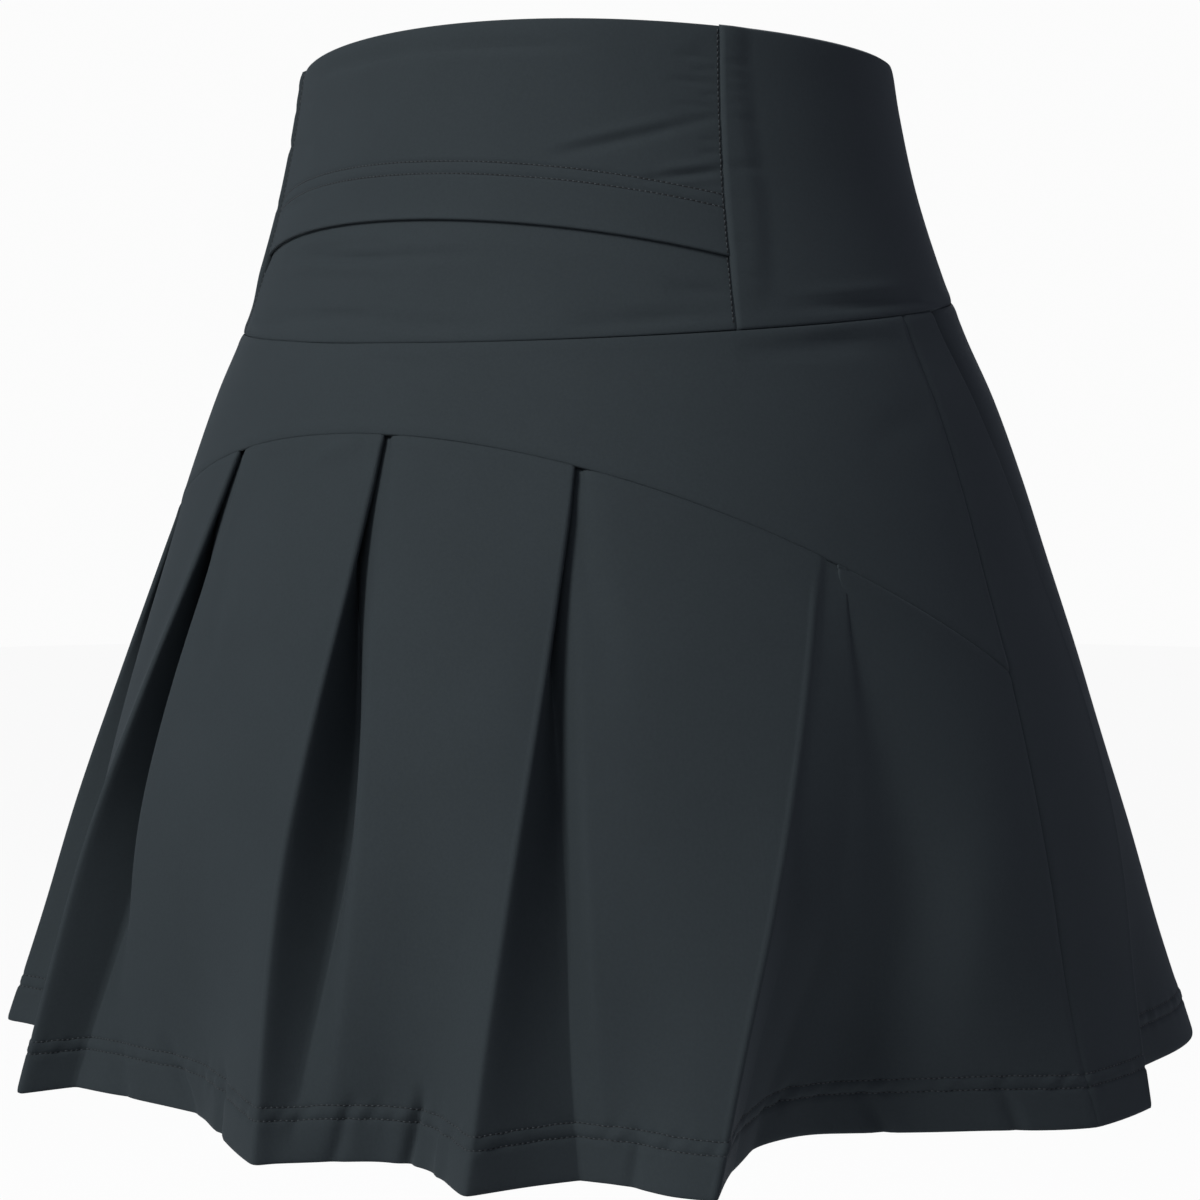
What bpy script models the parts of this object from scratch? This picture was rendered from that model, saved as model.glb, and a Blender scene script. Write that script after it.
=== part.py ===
"""Tennis skort in its worn form, hollow, with no wearer.

Metres, +Z up. The origin is the middle of the waist opening. The wearer faces -Y,
so the back is at +Y and the wearer's right side is at -X.

Every wall is worked out in garment coordinates:
  angle   degrees round the body, 0 at the centre back, 90 at the wearer's right side,
          180 at the centre front and -90 at the left side
  height  metres, 0 at the waist and negative below it
  recess  metres that the cloth lies inside the outer form at that angle and height
"""
import math

import bmesh
import bpy
from mathutils import Vector

# ---- driving sizes -------------------------------------------------------------------
CLOTH = 0.0011            # one layer of the knit
BAND_CLOTH = 0.0024       # the doubled waistband
SHORTS_CLOTH = 0.0010
SEAM_GAP = 0.00034        # clear space between sewn pieces
LAYER_GAP = 0.0005        # between the layers of a closed pleat
MITRE_LIMIT = 0.6         # smallest cosine that a mitred corner is widened by
SHARP_ANGLE = 40          # degrees past which an edge is shaded sharp
HEM_HEIGHT = -0.393
SIDE_SEAM = 83.7          # angle of the side seams down to the arched seam
SIDE_SEAM_HEM = 86.2      # and at the hem
BAND_SEAM = 50.7          # angle of the upright seams at the foot of the waistband
BAND_SEAM_TOP = 53.2      # and at the waist
SIDE_SINK = 0.012         # recess of the side seam at the hem

# Outer form: an ellipse at each depth below the waist, its centre moved toward the back.
FORM = [
    # depth, half_width, half_depth, backward
    (-0.020, 0.1240, 0.0962, 0.0055),
    (0.000, 0.1266, 0.0981, 0.0055),
    (0.020, 0.1298, 0.1005, 0.0054),
    (0.050, 0.1368, 0.1060, 0.0050),
    (0.080, 0.1466, 0.1136, 0.0041),
    (0.105, 0.1563, 0.1221, 0.0032),
    (0.130, 0.1682, 0.1324, 0.0025),
    (0.160, 0.1797, 0.1437, 0.0018),
    (0.190, 0.1895, 0.1553, 0.0010),
    (0.240, 0.2062, 0.1750, 0.0000),
    (0.300, 0.2245, 0.1970, 0.0000),
    (0.350, 0.2370, 0.2136, 0.0000),
    (0.400, 0.2520, 0.2295, 0.0000),
]

# Edges that run round the garment: mean height plus cosine, sine and double-angle terms.
TOP_EDGE = dict(mean=-0.0016, back=0.0110, lean=0.0062, sides=0.0022)
BAND_EDGE = dict(mean=-0.0990, back=-0.0075, lean=0.0035, sides=0.0)
HEM_RISE = [
    # angle, rise above HEM_HEIGHT, where the side gores sink in
    (-100.0, 0.0000),
    (-86.0, 0.0010),
    (-70.0, 0.0030),
    (-56.0, 0.0000),
    (43.0, 0.0000),
    (50.0, 0.0050),
    (60.0, 0.0045),
    (74.0, 0.0035),
    (86.0, 0.0005),
    (100.0, 0.0000),
]
YOKE_TOP, YOKE_DROP = -0.1400, 0.0859        # arched seam: centre back, fall at SIDE_SEAM
POCKET_TOP, POCKET_DROP = -0.0603, 0.0125    # arched pocket edge, fall at BAND_SEAM
POCKET_STEP = 0.010       # way below that edge in which the band comes up flush

# Knife pleats of the back, left to right as seen from behind. Along the cloth come the
# pressed crest, the inner fold, the edge where the next panel starts, the deepest sag of
# that panel, and the shoulder where it starts to rise to the next crest.
PLEAT_MIDDLE = [
    # crest, lift, inner, inner_depth, edge, edge_depth, sag, sag_depth, shoulder, shoulder_depth
    (-56.0, 0.005, -53.0, 0.019, -50.0, 0.006, -44.5, 0.005, -38.5, 0.001),
    (-34.8, 0.004, -31.0, 0.019, -26.6, 0.006, -17.0, 0.005, -7.0, 0.003),
    (-0.8, 0.000, 3.0, 0.021, 7.0, 0.006, 13.5, 0.005, 19.5, 0.003),
    (24.0, 0.000, 27.6, 0.020, 30.6, 0.007, 37.0, 0.005, 45.0, 0.002),
    (49.4, 0.000, 53.5, 0.006, 58.0, 0.014, 66.0, 0.020, 75.0, 0.010),
]
PLEAT_HEM = [
    (-53.5, 0.0075, -50.5, 0.007, -47.0, 0.018, -41.5, 0.022, -34.0, 0.000),
    (-27.5, 0.014, -24.3, 0.002, -20.5, 0.017, -13.0, 0.029, -7.0, 0.022),
    (3.2, 0.002, 5.2, 0.007, 7.8, 0.015, 12.6, 0.024, 17.6, 0.020),
    (22.7, 0.004, 31.0, 0.021, 34.0, 0.018, 36.0, 0.014, 39.2, 0.004),
    (42.6, 0.002, 45.0, 0.026, 48.0, 0.042, 58.0, 0.050, 72.0, 0.034),
]
PLEAT_AT_SEAM = [-53.4, -28.9, 0.2, 27.1, 57.2]     # crest angles on the arched seam
TUCK = 5.4                # angle that a closed pleat reaches back under its crest
CREST_TURN = 0.35         # share of the height over which a crest's stacked layers turn side by side
TUCK_LAYERS = 1.5         # layers that lie over the inner fold's middle at the seam
PANEL_LAYERS = 2.0        # and over the next panel's edge
PANEL_STEP = 0.5          # angle from a crest to that edge at the seam
SAG_SHARE, SHOULDER_SHARE = 0.3, 0.8        # where a panel's sag and shoulder meet the seam
MIDDLE = 0.55             # how far down the cloth the PLEAT_MIDDLE rows stand
LEFT_SAG = [(MIDDLE, -70.0, 0.003), (1.0, -70.0, 0.014)]   # panel before the first pleat

# Front: from the side seam to the centre front, mirrored for the left half.
FRONT_SEAM_CREST = 94.0
FRONT_TUCK = 4.4
FRONT_RISE = 7.0          # angle from the crest to the panel's rise at the waistband
FRONT_MIDDLE = [
    # crest, lift, inner, inner_depth, edge, edge_depth, rise, rise_depth
    (99.5, 0.000, 102.0, 0.013, 105.0, 0.008, 112.0, 0.003),
]
FRONT_HEM = [
    (95.6, -0.007, 99.5, 0.028, 106.0, 0.032, 113.0, 0.019),
]
FRONT_FLUTES = [
    # angle, recess at the middle, recess at the hem
    (126.0, 0.000, -0.003),
    (138.0, 0.001, 0.008),
    (151.0, 0.001, 0.015),
    (166.0, 0.000, 0.005),
    (180.0, 0.000, 0.000),
]

# Inner shorts on a general figure, two halves that meet at the centre and the crotch.
SHORTS_LAP = 0.008        # how far they reach up inside the waistband
SHORTS_LAP_FOOT = 0.0018  # where that lap starts to turn out, above the waistband's edge
SHORTS_SNUG = 0.4         # share of the hips' height in which they come in to the figure
SHORTS_TUCK = 0.0052      # their recess under the waistband, inside the front's folded layers
SHORTS_HIP = [
    # depth, half_width, half_depth
    (0.090, 0.1450, 0.1110),
    (0.115, 0.1530, 0.1160),
    (0.140, 0.1595, 0.1205),
    (0.180, 0.1665, 0.1250),
    (0.215, 0.1710, 0.1250),
    (0.262, 0.1760, 0.1180),
]
SHORTS_LEG = [
    # depth, inseam, outer_side, half_depth
    (0.262, 0.0009, 0.1780, 0.0930),
    (0.300, 0.0040, 0.1765, 0.0910),
    (0.335, 0.0085, 0.1745, 0.0885),
]
LEG_BACKWARD = 0.004      # how far the legs' centres lie behind the origin
RISE_START, RISE_END = 0.215, 0.262         # depths between which the crotch seam curves under
INSEAM_GAP = 0.0006

COLOUR = (0.022, 0.030, 0.033, 1.0)
SHORTS_COLOUR = (0.018, 0.025, 0.028, 1.0)

# Rows down each wall, as fractions of its height.
PLEAT_ROWS = [0.0, 0.05, 0.12, 0.20, 0.30, 0.42, 0.55, 0.68, 0.80, 0.91, 1.0]
YOKE_ROWS = [0.0, 0.33, 0.67, 1.0]
FRONT_UPPER_ROWS = [0.0, 0.15, 0.35, 0.6, 0.82]
FRONT_BAND_ROWS = [0.0, 0.2, 0.4, 0.6, 0.8, 1.0]
POCKET_ROWS = [0.0, 0.33, 0.67, 1.0]
BELOW_POCKET_ROWS = [1.1, 1.3, 1.65, 2.0]
FRONT_BAND_COLUMNS, BACK_BAND_COLUMNS, YOKE_COLUMNS = 32, 14, 28
SHORTS_COLUMNS = 24
HIP_ROWS = [0.0, 0.15, 0.4, 0.7, 1.0]
RISE_ROWS = [0.2, 0.4, 0.6, 0.8, 1.0]
LEG_ROWS = [0.33, 0.67, 1.0]


# ---- interpolation --------------------------------------------------------------------
def lookup(rows, key):
    """Smooth values between the rows of a table whose first column rises."""
    last = len(rows) - 1
    key = min(max(key, rows[0][0]), rows[last][0])
    i = max(k for k in range(last) if rows[k][0] <= key)
    span = rows[i + 1][0] - rows[i][0]
    u = (key - rows[i][0]) / span

    def slope(k, column):
        low, high = max(k - 1, 0), min(k + 1, last)
        return (rows[high][column] - rows[low][column]) / (rows[high][0] - rows[low][0])

    values = []
    for column in range(1, len(rows[0])):
        start, end = rows[i][column], rows[i + 1][column]
        m0, m1 = slope(i, column) * span, slope(i + 1, column) * span
        values.append(start * (2 * u**3 - 3 * u**2 + 1) + m0 * (u**3 - 2 * u**2 + u)
                      + end * (3 * u**2 - 2 * u**3) + m1 * (u**3 - u**2))
    return values


def smoothstep(low, high, value):
    u = min(max((value - low) / (high - low), 0.0), 1.0)
    return u * u * (3 - 2 * u)


def blend(start, end, u):
    return start + (end - start) * u


# ---- the outer form and its edges --------------------------------------------------------
def edge_height(edge, angle):
    a = math.radians(angle)
    return (edge["mean"] + edge["back"] * math.cos(a) + edge["lean"] * math.sin(a)
            + edge["sides"] * math.cos(2 * a))


def yoke_height(angle):
    return YOKE_TOP - YOKE_DROP * (angle / SIDE_SEAM) ** 2


def pocket_height(angle):
    return POCKET_TOP - POCKET_DROP * (angle / BAND_SEAM) ** 2


def hem_height(angle):
    return HEM_HEIGHT + lookup(HEM_RISE, angle)[0]


def form_point(angle, height, recess=0.0):
    """A point on the form's ellipse, moved in along the ellipse's normal."""
    half_width, half_depth, backward = lookup(FORM, -height)
    a = math.radians(angle)
    x, y = -half_width * math.sin(a), half_depth * math.cos(a)
    nx, ny = x / half_width**2, y / half_depth**2
    length = math.hypot(nx, ny)
    return (x - recess * nx / length, backward + y - recess * ny / length, height)


def band_seam(height):
    """Angle of the waistband's upright seams."""
    return blend(BAND_SEAM, BAND_SEAM_TOP, (height - BAND_EDGE["mean"]) / -BAND_EDGE["mean"])


def side_seam(height):
    """Angle of the side seams, which swing a little forward below the arched seam."""
    corner = yoke_height(SIDE_SEAM)
    return blend(SIDE_SEAM, SIDE_SEAM_HEM, max(0.0, (height - corner) / (HEM_HEIGHT - corner)))


def gap_angle(height):
    """Half a seam gap as an angle at that height."""
    return math.degrees(0.5 * SEAM_GAP / lookup(FORM, -height)[1])


def side_recess(height):
    return CLOTH / 2 + SIDE_SINK * smoothstep(0.20, 0.39, -height)


# ---- solids from grids of points -----------------------------------------------------------
def make_wall(name, outer, inner, colour):
    """A closed wall between two grids of points, its four edges capped."""
    mesh = bpy.data.meshes.new(name)
    shape = bmesh.new()
    rows, columns = len(outer), len(outer[0])
    near = [[shape.verts.new(p) for p in row] for row in outer]
    far = [[shape.verts.new(p) for p in row] for row in inner]
    for r in range(rows - 1):
        for c in range(columns - 1):
            shape.faces.new((near[r][c], near[r + 1][c], near[r + 1][c + 1], near[r][c + 1]))
            shape.faces.new((far[r][c], far[r][c + 1], far[r + 1][c + 1], far[r + 1][c]))
    for c in range(columns - 1):
        shape.faces.new((near[0][c], near[0][c + 1], far[0][c + 1], far[0][c]))
        shape.faces.new((near[-1][c + 1], near[-1][c], far[-1][c], far[-1][c + 1]))
    for r in range(rows - 1):
        shape.faces.new((near[r + 1][0], near[r][0], far[r][0], far[r + 1][0]))
        shape.faces.new((near[r][-1], near[r + 1][-1], far[r + 1][-1], far[r][-1]))
    bmesh.ops.recalc_face_normals(shape, faces=shape.faces)
    bmesh.ops.triangulate(shape, faces=shape.faces)
    shape.to_mesh(mesh)
    shape.free()
    mesh.shade_smooth()
    mesh.set_sharp_from_angle(angle=math.radians(SHARP_ANGLE))
    piece = bpy.data.objects.new(name, mesh)
    piece.data.materials.append(make_material(name, colour))
    bpy.context.collection.objects.link(piece)
    return piece


def make_material(name, colour):
    material = bpy.data.materials.new(name + "_knit")
    material.use_nodes = True
    shader = material.node_tree.nodes["Principled BSDF"]
    shader.inputs["Base Color"].default_value = colour
    shader.inputs["Roughness"].default_value = 0.7
    shader.inputs["Metallic"].default_value = 0.0
    return material


def band_wall(name, ends, columns, height_at, rows, outer_recess, inner_recess, colour):
    """A wall on the form. Its two end angles are functions of the height, as a seam slants."""
    grids = []
    for recess in (outer_recess, inner_recess):
        grid = []
        for row in rows:
            line = []
            for k in range(columns + 1):
                facing = blend(ends[0](0.0), ends[1](0.0), k / columns)
                height = height_at(facing, row)
                trim = gap_angle(height)
                angle = blend(ends[0](height) + trim, ends[1](height) - trim, k / columns)
                line.append(form_point(angle, height, recess(facing, height)))
            grid.append(line)
        grids.append(grid)
    return make_wall(name, grids[0], grids[1], colour)


def offset_path(path, distance):
    """The path moved sideways in plan, mitred at its corners."""
    moved = []
    for k, (x, y, z) in enumerate(path):
        before, after = path[max(k - 1, 0)], path[min(k + 1, len(path) - 1)]
        normals = []
        for p, q in ((before, (x, y, z)), ((x, y, z), after)):
            dx, dy = q[0] - p[0], q[1] - p[1]
            length = math.hypot(dx, dy)
            if length > 1e-9:
                normals.append((dy / length, -dx / length))
        nx, ny = sum(n[0] for n in normals), sum(n[1] for n in normals)
        size = math.hypot(nx, ny)
        nx, ny = nx / size, ny / size
        mitre = max(MITRE_LIMIT, nx * normals[0][0] + ny * normals[0][1])
        moved.append((x + nx * distance / mitre, y + ny * distance / mitre, z))
    return moved


# ---- pleats ----------------------------------------------------------------------------------
def through(seam, middle, hem, v):
    """A value at v, from its values at the seam, at MIDDLE and at the hem."""
    return lookup([(0.0, seam), (MIDDLE, middle), (1.0, hem)], v)[0]


def fold_nodes(v, radius, seam_crest, tuck, middle, hem):
    """Crest, inner fold and panel edge of one pleat, as (angle, recess) in cloth order.

    The crest and the inner fold are each a pair of corners, one layer apart. They are
    stacked at the seam. Lower down the crest's pair lies side by side, and the inner
    fold's pair lies along the line from the crest to the panel's edge.
    """
    layer = CLOTH + LAYER_GAP
    base = CLOTH / 2
    crest = through(seam_crest, middle[0], hem[0], v)
    crest_depth = base + layer / 2 - through(0.0, middle[1], hem[1], v)
    inner = through(seam_crest - tuck, middle[2], hem[2], v)
    inner_depth = base + through(TUCK_LAYERS * layer, middle[3], hem[3], v)
    edge = through(seam_crest + PANEL_STEP, middle[4], hem[4], v)
    edge_depth = base + through(PANEL_LAYERS * layer, middle[5], hem[5], v)

    turn = smoothstep(0.0, CREST_TURN, v) * math.pi / 2
    run, drop = math.radians(edge - crest) * radius, edge_depth - crest_depth
    length = math.hypot(run, drop)
    nodes = []
    for angle, depth, across, inward in ((crest, crest_depth, math.sin(turn), math.cos(turn)),
                                         (inner, inner_depth, run / length, drop / length)):
        for half in (-layer / 2, layer / 2):
            nodes.append((angle + math.degrees(half * across / radius), depth + half * inward))
    return nodes + [(edge, edge_depth)]


def curve_through(nodes, counts):
    """Points along smooth curves between the nodes, each span cut into its count."""
    keyed = [(float(k), *node) for k, node in enumerate(nodes)]
    points = []
    for k, count in enumerate(counts):
        points += [tuple(lookup(keyed, k + step / count)) for step in range(count)]
    return points + [tuple(nodes[-1])]


def straight(nodes, counts):
    points = []
    for k, count in enumerate(counts):
        for step in range(count):
            u = step / count
            points.append((blend(nodes[k][0], nodes[k + 1][0], u), blend(nodes[k][1], nodes[k + 1][1], u)))
    return points + [tuple(nodes[-1])]


def back_section(v, radius, seam_angle, seam_depth):
    """The pleated back at v, from the left side seam to the right one."""
    base = CLOTH / 2
    left_angle, left_sag = LEFT_SAG[0][1], through(0.0, LEFT_SAG[0][2], LEFT_SAG[1][2], v)
    folds = [fold_nodes(v, radius, seam, TUCK, middle, hem)
             for seam, middle, hem in zip(PLEAT_AT_SEAM, PLEAT_MIDDLE, PLEAT_HEM)]
    start, finish = (-seam_angle, seam_depth), (seam_angle, seam_depth)
    section = curve_through([start, (left_angle, base + left_sag), folds[0][0]], [3, 3])
    for k, (middle, hem) in enumerate(zip(PLEAT_MIDDLE, PLEAT_HEM)):
        seam = PLEAT_AT_SEAM[k]
        following = PLEAT_AT_SEAM[k + 1] if k + 1 < len(folds) else SIDE_SEAM
        end = folds[k + 1][0] if k + 1 < len(folds) else finish
        sag = (through(blend(seam, following, SAG_SHARE), middle[6], hem[6], v),
               base + through(0.0, middle[7], hem[7], v))
        shoulder = (through(blend(seam, following, SHOULDER_SHARE), middle[8], hem[8], v),
                    base + through(0.0, middle[9], hem[9], v))
        section += straight(folds[k], [1, 2, 1, 2])[1:]
        section += curve_through([folds[k][4], sag, shoulder, end], [2, 3, 3])[1:]
    return section


def front_section(v, radius, seam_angle, seam_depth):
    """The front at v, from the right side seam round to the left one."""
    base = CLOTH / 2
    middle, hem = FRONT_MIDDLE[0], FRONT_HEM[0]
    fold = fold_nodes(v, radius, FRONT_SEAM_CREST, FRONT_TUCK, middle, hem)
    rise = (through(FRONT_SEAM_CREST + FRONT_RISE, middle[6], hem[6], v),
            base + through(0.0, middle[7], hem[7], v))
    flutes = [(angle, base + through(0.0, recess_middle, recess_hem, v))
              for angle, recess_middle, recess_hem in FRONT_FLUTES]
    half = straight([(seam_angle, seam_depth), fold[0]], [2])
    half += straight(fold, [1, 2, 1, 2])[1:]
    half += curve_through([fold[4], rise] + flutes, [1, 2, 2, 2, 2, 2])[1:]
    return half + [(360.0 - angle, recess) for angle, recess in reversed(half[:-1])]


def front_rows():
    """Rows of the front: a few down to the arched seam's corner, then level with the back's."""
    top = edge_height(BAND_EDGE, SIDE_SEAM)
    corner = yoke_height(SIDE_SEAM)
    hem = hem_height(SIDE_SEAM)
    upper = [blend(0.0, (corner - top) / (hem - top), row) for row in FRONT_UPPER_ROWS]
    return upper + [(blend(corner, hem, row) - top) / (hem - top) for row in PLEAT_ROWS]


def pleated_wall(name, section, middle_angle, top, rows, colour):
    """A wall whose plan at each row is a section, from the top edge to the hem."""
    outer, inner = [], []
    for row in rows:
        radius = lookup(FORM, -blend(top(middle_angle), HEM_HEIGHT, row))[1]
        side_height = blend(top(SIDE_SEAM), hem_height(SIDE_SEAM), row)
        nodes = section(row, radius, side_seam(side_height), side_recess(side_height))
        path = []
        for k, (angle, recess) in enumerate(nodes):
            facing = angle if angle <= 180.0 else angle - 360.0
            height = blend(top(facing), hem_height(facing), row)
            trim = gap_angle(height) if k == 0 else -gap_angle(height) if k == len(nodes) - 1 else 0.0
            path.append(form_point(angle + trim, height, recess))
        outer.append(offset_path(path, -CLOTH / 2))
        inner.append(offset_path(path, CLOTH / 2))
    return make_wall(name, outer, inner, colour)


# ---- the pieces -------------------------------------------------------------------------------
def make_waistband():
    def top(angle):
        return edge_height(TOP_EDGE, angle)

    def bottom(angle):
        return edge_height(BAND_EDGE, angle) + SEAM_GAP / 2

    def front_height(angle, row):
        return blend(top(angle), bottom(angle), row)

    def back_height(angle, row):
        """Rows 0 to 1 reach down to the pocket's edge, and rows 1 to 2 on to the seam."""
        if row <= 1.0:
            return blend(top(angle), pocket_height(angle), row)
        return blend(pocket_height(angle), bottom(angle), row - 1.0)

    def back_recess(angle, height):
        """Sunk under the pocket layer, nearly flush below the pocket's edge."""
        below = pocket_height(angle) - height
        return blend(CLOTH + SEAM_GAP, SEAM_GAP, smoothstep(0.0, POCKET_STEP, below))

    def left_seam(height):
        return -band_seam(height)

    def left_seam_from_front(height):
        return 360.0 - band_seam(height)

    def flush(angle, height):
        return 0.0

    def inside(angle, height):
        return BAND_CLOTH

    def pocket_inside(angle, height):
        return CLOTH

    band_wall("waistband_front", (band_seam, left_seam_from_front), FRONT_BAND_COLUMNS,
              front_height, FRONT_BAND_ROWS, flush, inside, COLOUR)
    band_wall("waistband_back", (left_seam, band_seam), BACK_BAND_COLUMNS,
              back_height, POCKET_ROWS + BELOW_POCKET_ROWS, back_recess, inside, COLOUR)
    band_wall("waistband_pocket", (left_seam, band_seam), BACK_BAND_COLUMNS,
              back_height, POCKET_ROWS, flush, pocket_inside, COLOUR)


def make_skirt():
    def yoke_top(angle):
        return edge_height(BAND_EDGE, angle) - SEAM_GAP / 2

    def yoke_row(angle, row):
        return blend(yoke_top(angle), yoke_height(angle) + SEAM_GAP / 2, row)

    def pleats_top(angle):
        return yoke_height(angle) - SEAM_GAP / 2

    band_wall("yoke_back", (lambda height: -SIDE_SEAM, lambda height: SIDE_SEAM), YOKE_COLUMNS,
              yoke_row, YOKE_ROWS, lambda angle, height: 0.0, lambda angle, height: CLOTH, COLOUR)
    pleated_wall("skirt_back", back_section, 0.0, pleats_top, PLEAT_ROWS, COLOUR)
    pleated_wall("skirt_front", front_section, 180.0, yoke_top, front_rows(), COLOUR)


def hip_ring(row, side):
    """A half ring round the hips, from the centre front by the side to the centre back."""
    ring = []
    for k in range(SHORTS_COLUMNS + 1):
        angle = 180.0 * (1.0 - k / SHORTS_COLUMNS)
        height = blend(edge_height(BAND_EDGE, side * angle), -RISE_START, row)
        half_width, half_depth = lookup(SHORTS_HIP, -height)
        turn = math.radians(angle)
        near_band = form_point(angle, height, SHORTS_TUCK + SHORTS_CLOTH / 2)
        snug = smoothstep(0.0, SHORTS_SNUG, row)
        x = blend(-near_band[0], half_width * math.sin(turn), snug)
        y = blend(near_band[1], half_depth * math.cos(turn), snug)
        ring.append((max(x, SEAM_GAP / 2), y, height))
    return ring


def lap_ring(rise, side):
    """The half ring that lies flat inside the waistband, at a rise above its lower edge."""
    ring = []
    for k in range(SHORTS_COLUMNS + 1):
        angle = 180.0 * (1.0 - k / SHORTS_COLUMNS)
        height = edge_height(BAND_EDGE, side * angle) + rise
        x, y, z = form_point(angle, height, BAND_CLOTH + SEAM_GAP + SHORTS_CLOTH / 2)
        ring.append((max(-x, SEAM_GAP / 2), y, z))
    return ring


def leg_ring(depth):
    """A ring round one leg, from the inseam by the front, outer side and back to the inseam."""
    inseam, outer_side, half_depth = lookup(SHORTS_LEG, depth)
    centre, half_width = (inseam + outer_side) / 2, (outer_side - inseam) / 2
    trim = INSEAM_GAP / 2 / half_depth
    ring = []
    for k in range(SHORTS_COLUMNS + 1):
        turn = blend(trim, 2 * math.pi - trim, k / SHORTS_COLUMNS)
        ring.append((centre - half_width * math.cos(turn),
                     LEG_BACKWARD - half_depth * math.sin(turn), -depth))
    return ring


def rise_ring(row, side):
    """Between hips and leg: the centre edges draw in under the body to the crotch."""
    hips, leg = hip_ring(1.0, side), leg_ring(RISE_END)
    drawn = smoothstep(0.0, 1.0, row)
    depth = blend(RISE_START, RISE_END, math.sin(row * math.pi / 2))
    clear = (SEAM_GAP + SHORTS_CLOTH) / 2
    return [(max(blend(p[0], q[0], drawn), clear), blend(p[1], q[1], drawn), -depth)
            for p, q in zip(hips, leg)]


def offset_grid(grid, distance):
    """A grid of points moved along the surface's normals, toward the body."""
    rows, columns = len(grid), len(grid[0])
    moved = []
    for r in range(rows):
        line = []
        for c in range(columns):
            down = (Vector(grid[min(r + 1, rows - 1)][c]) - Vector(grid[max(r - 1, 0)][c]))
            along = (Vector(grid[r][min(c + 1, columns - 1)]) - Vector(grid[r][max(c - 1, 0)]))
            normal = down.cross(along).normalized()
            line.append(tuple(Vector(grid[r][c]) + normal * distance))
        moved.append(line)
    return moved


def make_shorts():
    for name, side in (("shorts_right", 1), ("shorts_left", -1)):
        grid = [lap_ring(SHORTS_LAP, side), lap_ring(SHORTS_LAP_FOOT, side)]
        grid += [hip_ring(row, side) for row in HIP_ROWS]
        grid += [rise_ring(row, side) for row in RISE_ROWS]
        grid += [leg_ring(blend(RISE_END, SHORTS_LEG[-1][0], row)) for row in LEG_ROWS]
        faces = [[[(-side * x, y, z) for x, y, z in line] for line in offset_grid(grid, away)]
                 for away in (SHORTS_CLOTH / 2, -SHORTS_CLOTH / 2)]
        make_wall(name, faces[0], faces[1], SHORTS_COLOUR)


def main():
    for item in list(bpy.data.objects):
        bpy.data.objects.remove(item, do_unlink=True)
    make_waistband()
    make_skirt()
    make_shorts()


main()
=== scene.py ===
import math

import bpy
import numpy as np
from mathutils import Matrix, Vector


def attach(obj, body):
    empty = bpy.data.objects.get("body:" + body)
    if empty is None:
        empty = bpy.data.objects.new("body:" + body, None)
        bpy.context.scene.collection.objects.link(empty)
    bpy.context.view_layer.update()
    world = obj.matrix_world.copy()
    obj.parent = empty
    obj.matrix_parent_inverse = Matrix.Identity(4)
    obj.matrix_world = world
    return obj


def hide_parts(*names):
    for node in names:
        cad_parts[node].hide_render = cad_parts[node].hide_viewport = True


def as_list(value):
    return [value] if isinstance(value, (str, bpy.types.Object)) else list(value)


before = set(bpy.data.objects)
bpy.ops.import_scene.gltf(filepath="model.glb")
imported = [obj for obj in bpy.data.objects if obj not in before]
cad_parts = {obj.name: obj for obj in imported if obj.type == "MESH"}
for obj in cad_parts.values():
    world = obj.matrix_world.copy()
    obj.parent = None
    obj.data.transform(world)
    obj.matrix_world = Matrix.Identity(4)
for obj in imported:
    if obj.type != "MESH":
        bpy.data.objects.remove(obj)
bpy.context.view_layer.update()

# ---- sizes of the solids ----
# They repeat the solids' source. A few are finer here: the inner folds of pleats 2, 3 and
# 5, the front's crest, and where a panel sags at the seam.
CLOTH = 0.0011
BAND_CLOTH = 0.0024
BACK_BAND_CLOTH = 0.0010
SHORTS_CLOTH = 0.0010
SEAM_GAP = 0.00034
LAYER_GAP = 0.0005
HEM_HEIGHT = -0.393
SIDE_SEAM, SIDE_SEAM_HEM = 83.7, 86.2  # angles of the side seam at the yoke and the hem
BAND_SEAM, BAND_SEAM_TOP = 50.7, 53.2  # and of the bands' upright seam, foot and top
SIDE_SINK = 0.012  # how far the side seam lies in at the hem
SIDE_SINK_DEPTHS = (0.20, 0.39)  # between these depths
FORM = [
    # depth, half_width, half_depth, backward
    (-0.020, 0.1240, 0.0962, 0.0055),
    (0.000, 0.1266, 0.0981, 0.0055),
    (0.020, 0.1298, 0.1005, 0.0054),
    (0.050, 0.1368, 0.1060, 0.0050),
    (0.080, 0.1466, 0.1136, 0.0041),
    (0.105, 0.1563, 0.1221, 0.0032),
    (0.130, 0.1682, 0.1324, 0.0025),
    (0.160, 0.1797, 0.1437, 0.0018),
    (0.190, 0.1895, 0.1553, 0.0010),
    (0.240, 0.2062, 0.1750, 0.0000),
    (0.300, 0.2245, 0.1970, 0.0000),
    (0.350, 0.2370, 0.2136, 0.0000),
    (0.400, 0.2520, 0.2295, 0.0000),
]
TOP_EDGE = dict(mean=-0.0016, back=0.0110, lean=0.0062, sides=0.0022)
BAND_EDGE = dict(mean=-0.0990, back=-0.0075, lean=0.0035, sides=0.0)
HEM_RISE = [
    # angle, rise above HEM_HEIGHT
    (-100.0, 0.0000),
    (-86.0, 0.0010),
    (-70.0, 0.0030),
    (-56.0, 0.0000),
    (43.0, 0.0000),
    (50.0, 0.0050),
    (60.0, 0.0045),
    (74.0, 0.0035),
    (86.0, 0.0005),
    (100.0, 0.0000),
]
YOKE_TOP, YOKE_DROP = -0.1400, 0.0859  # arched seam: height at the centre, fall at the side
POCKET_TOP, POCKET_DROP = -0.0603, 0.0125  # and the pocket's edge
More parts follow.
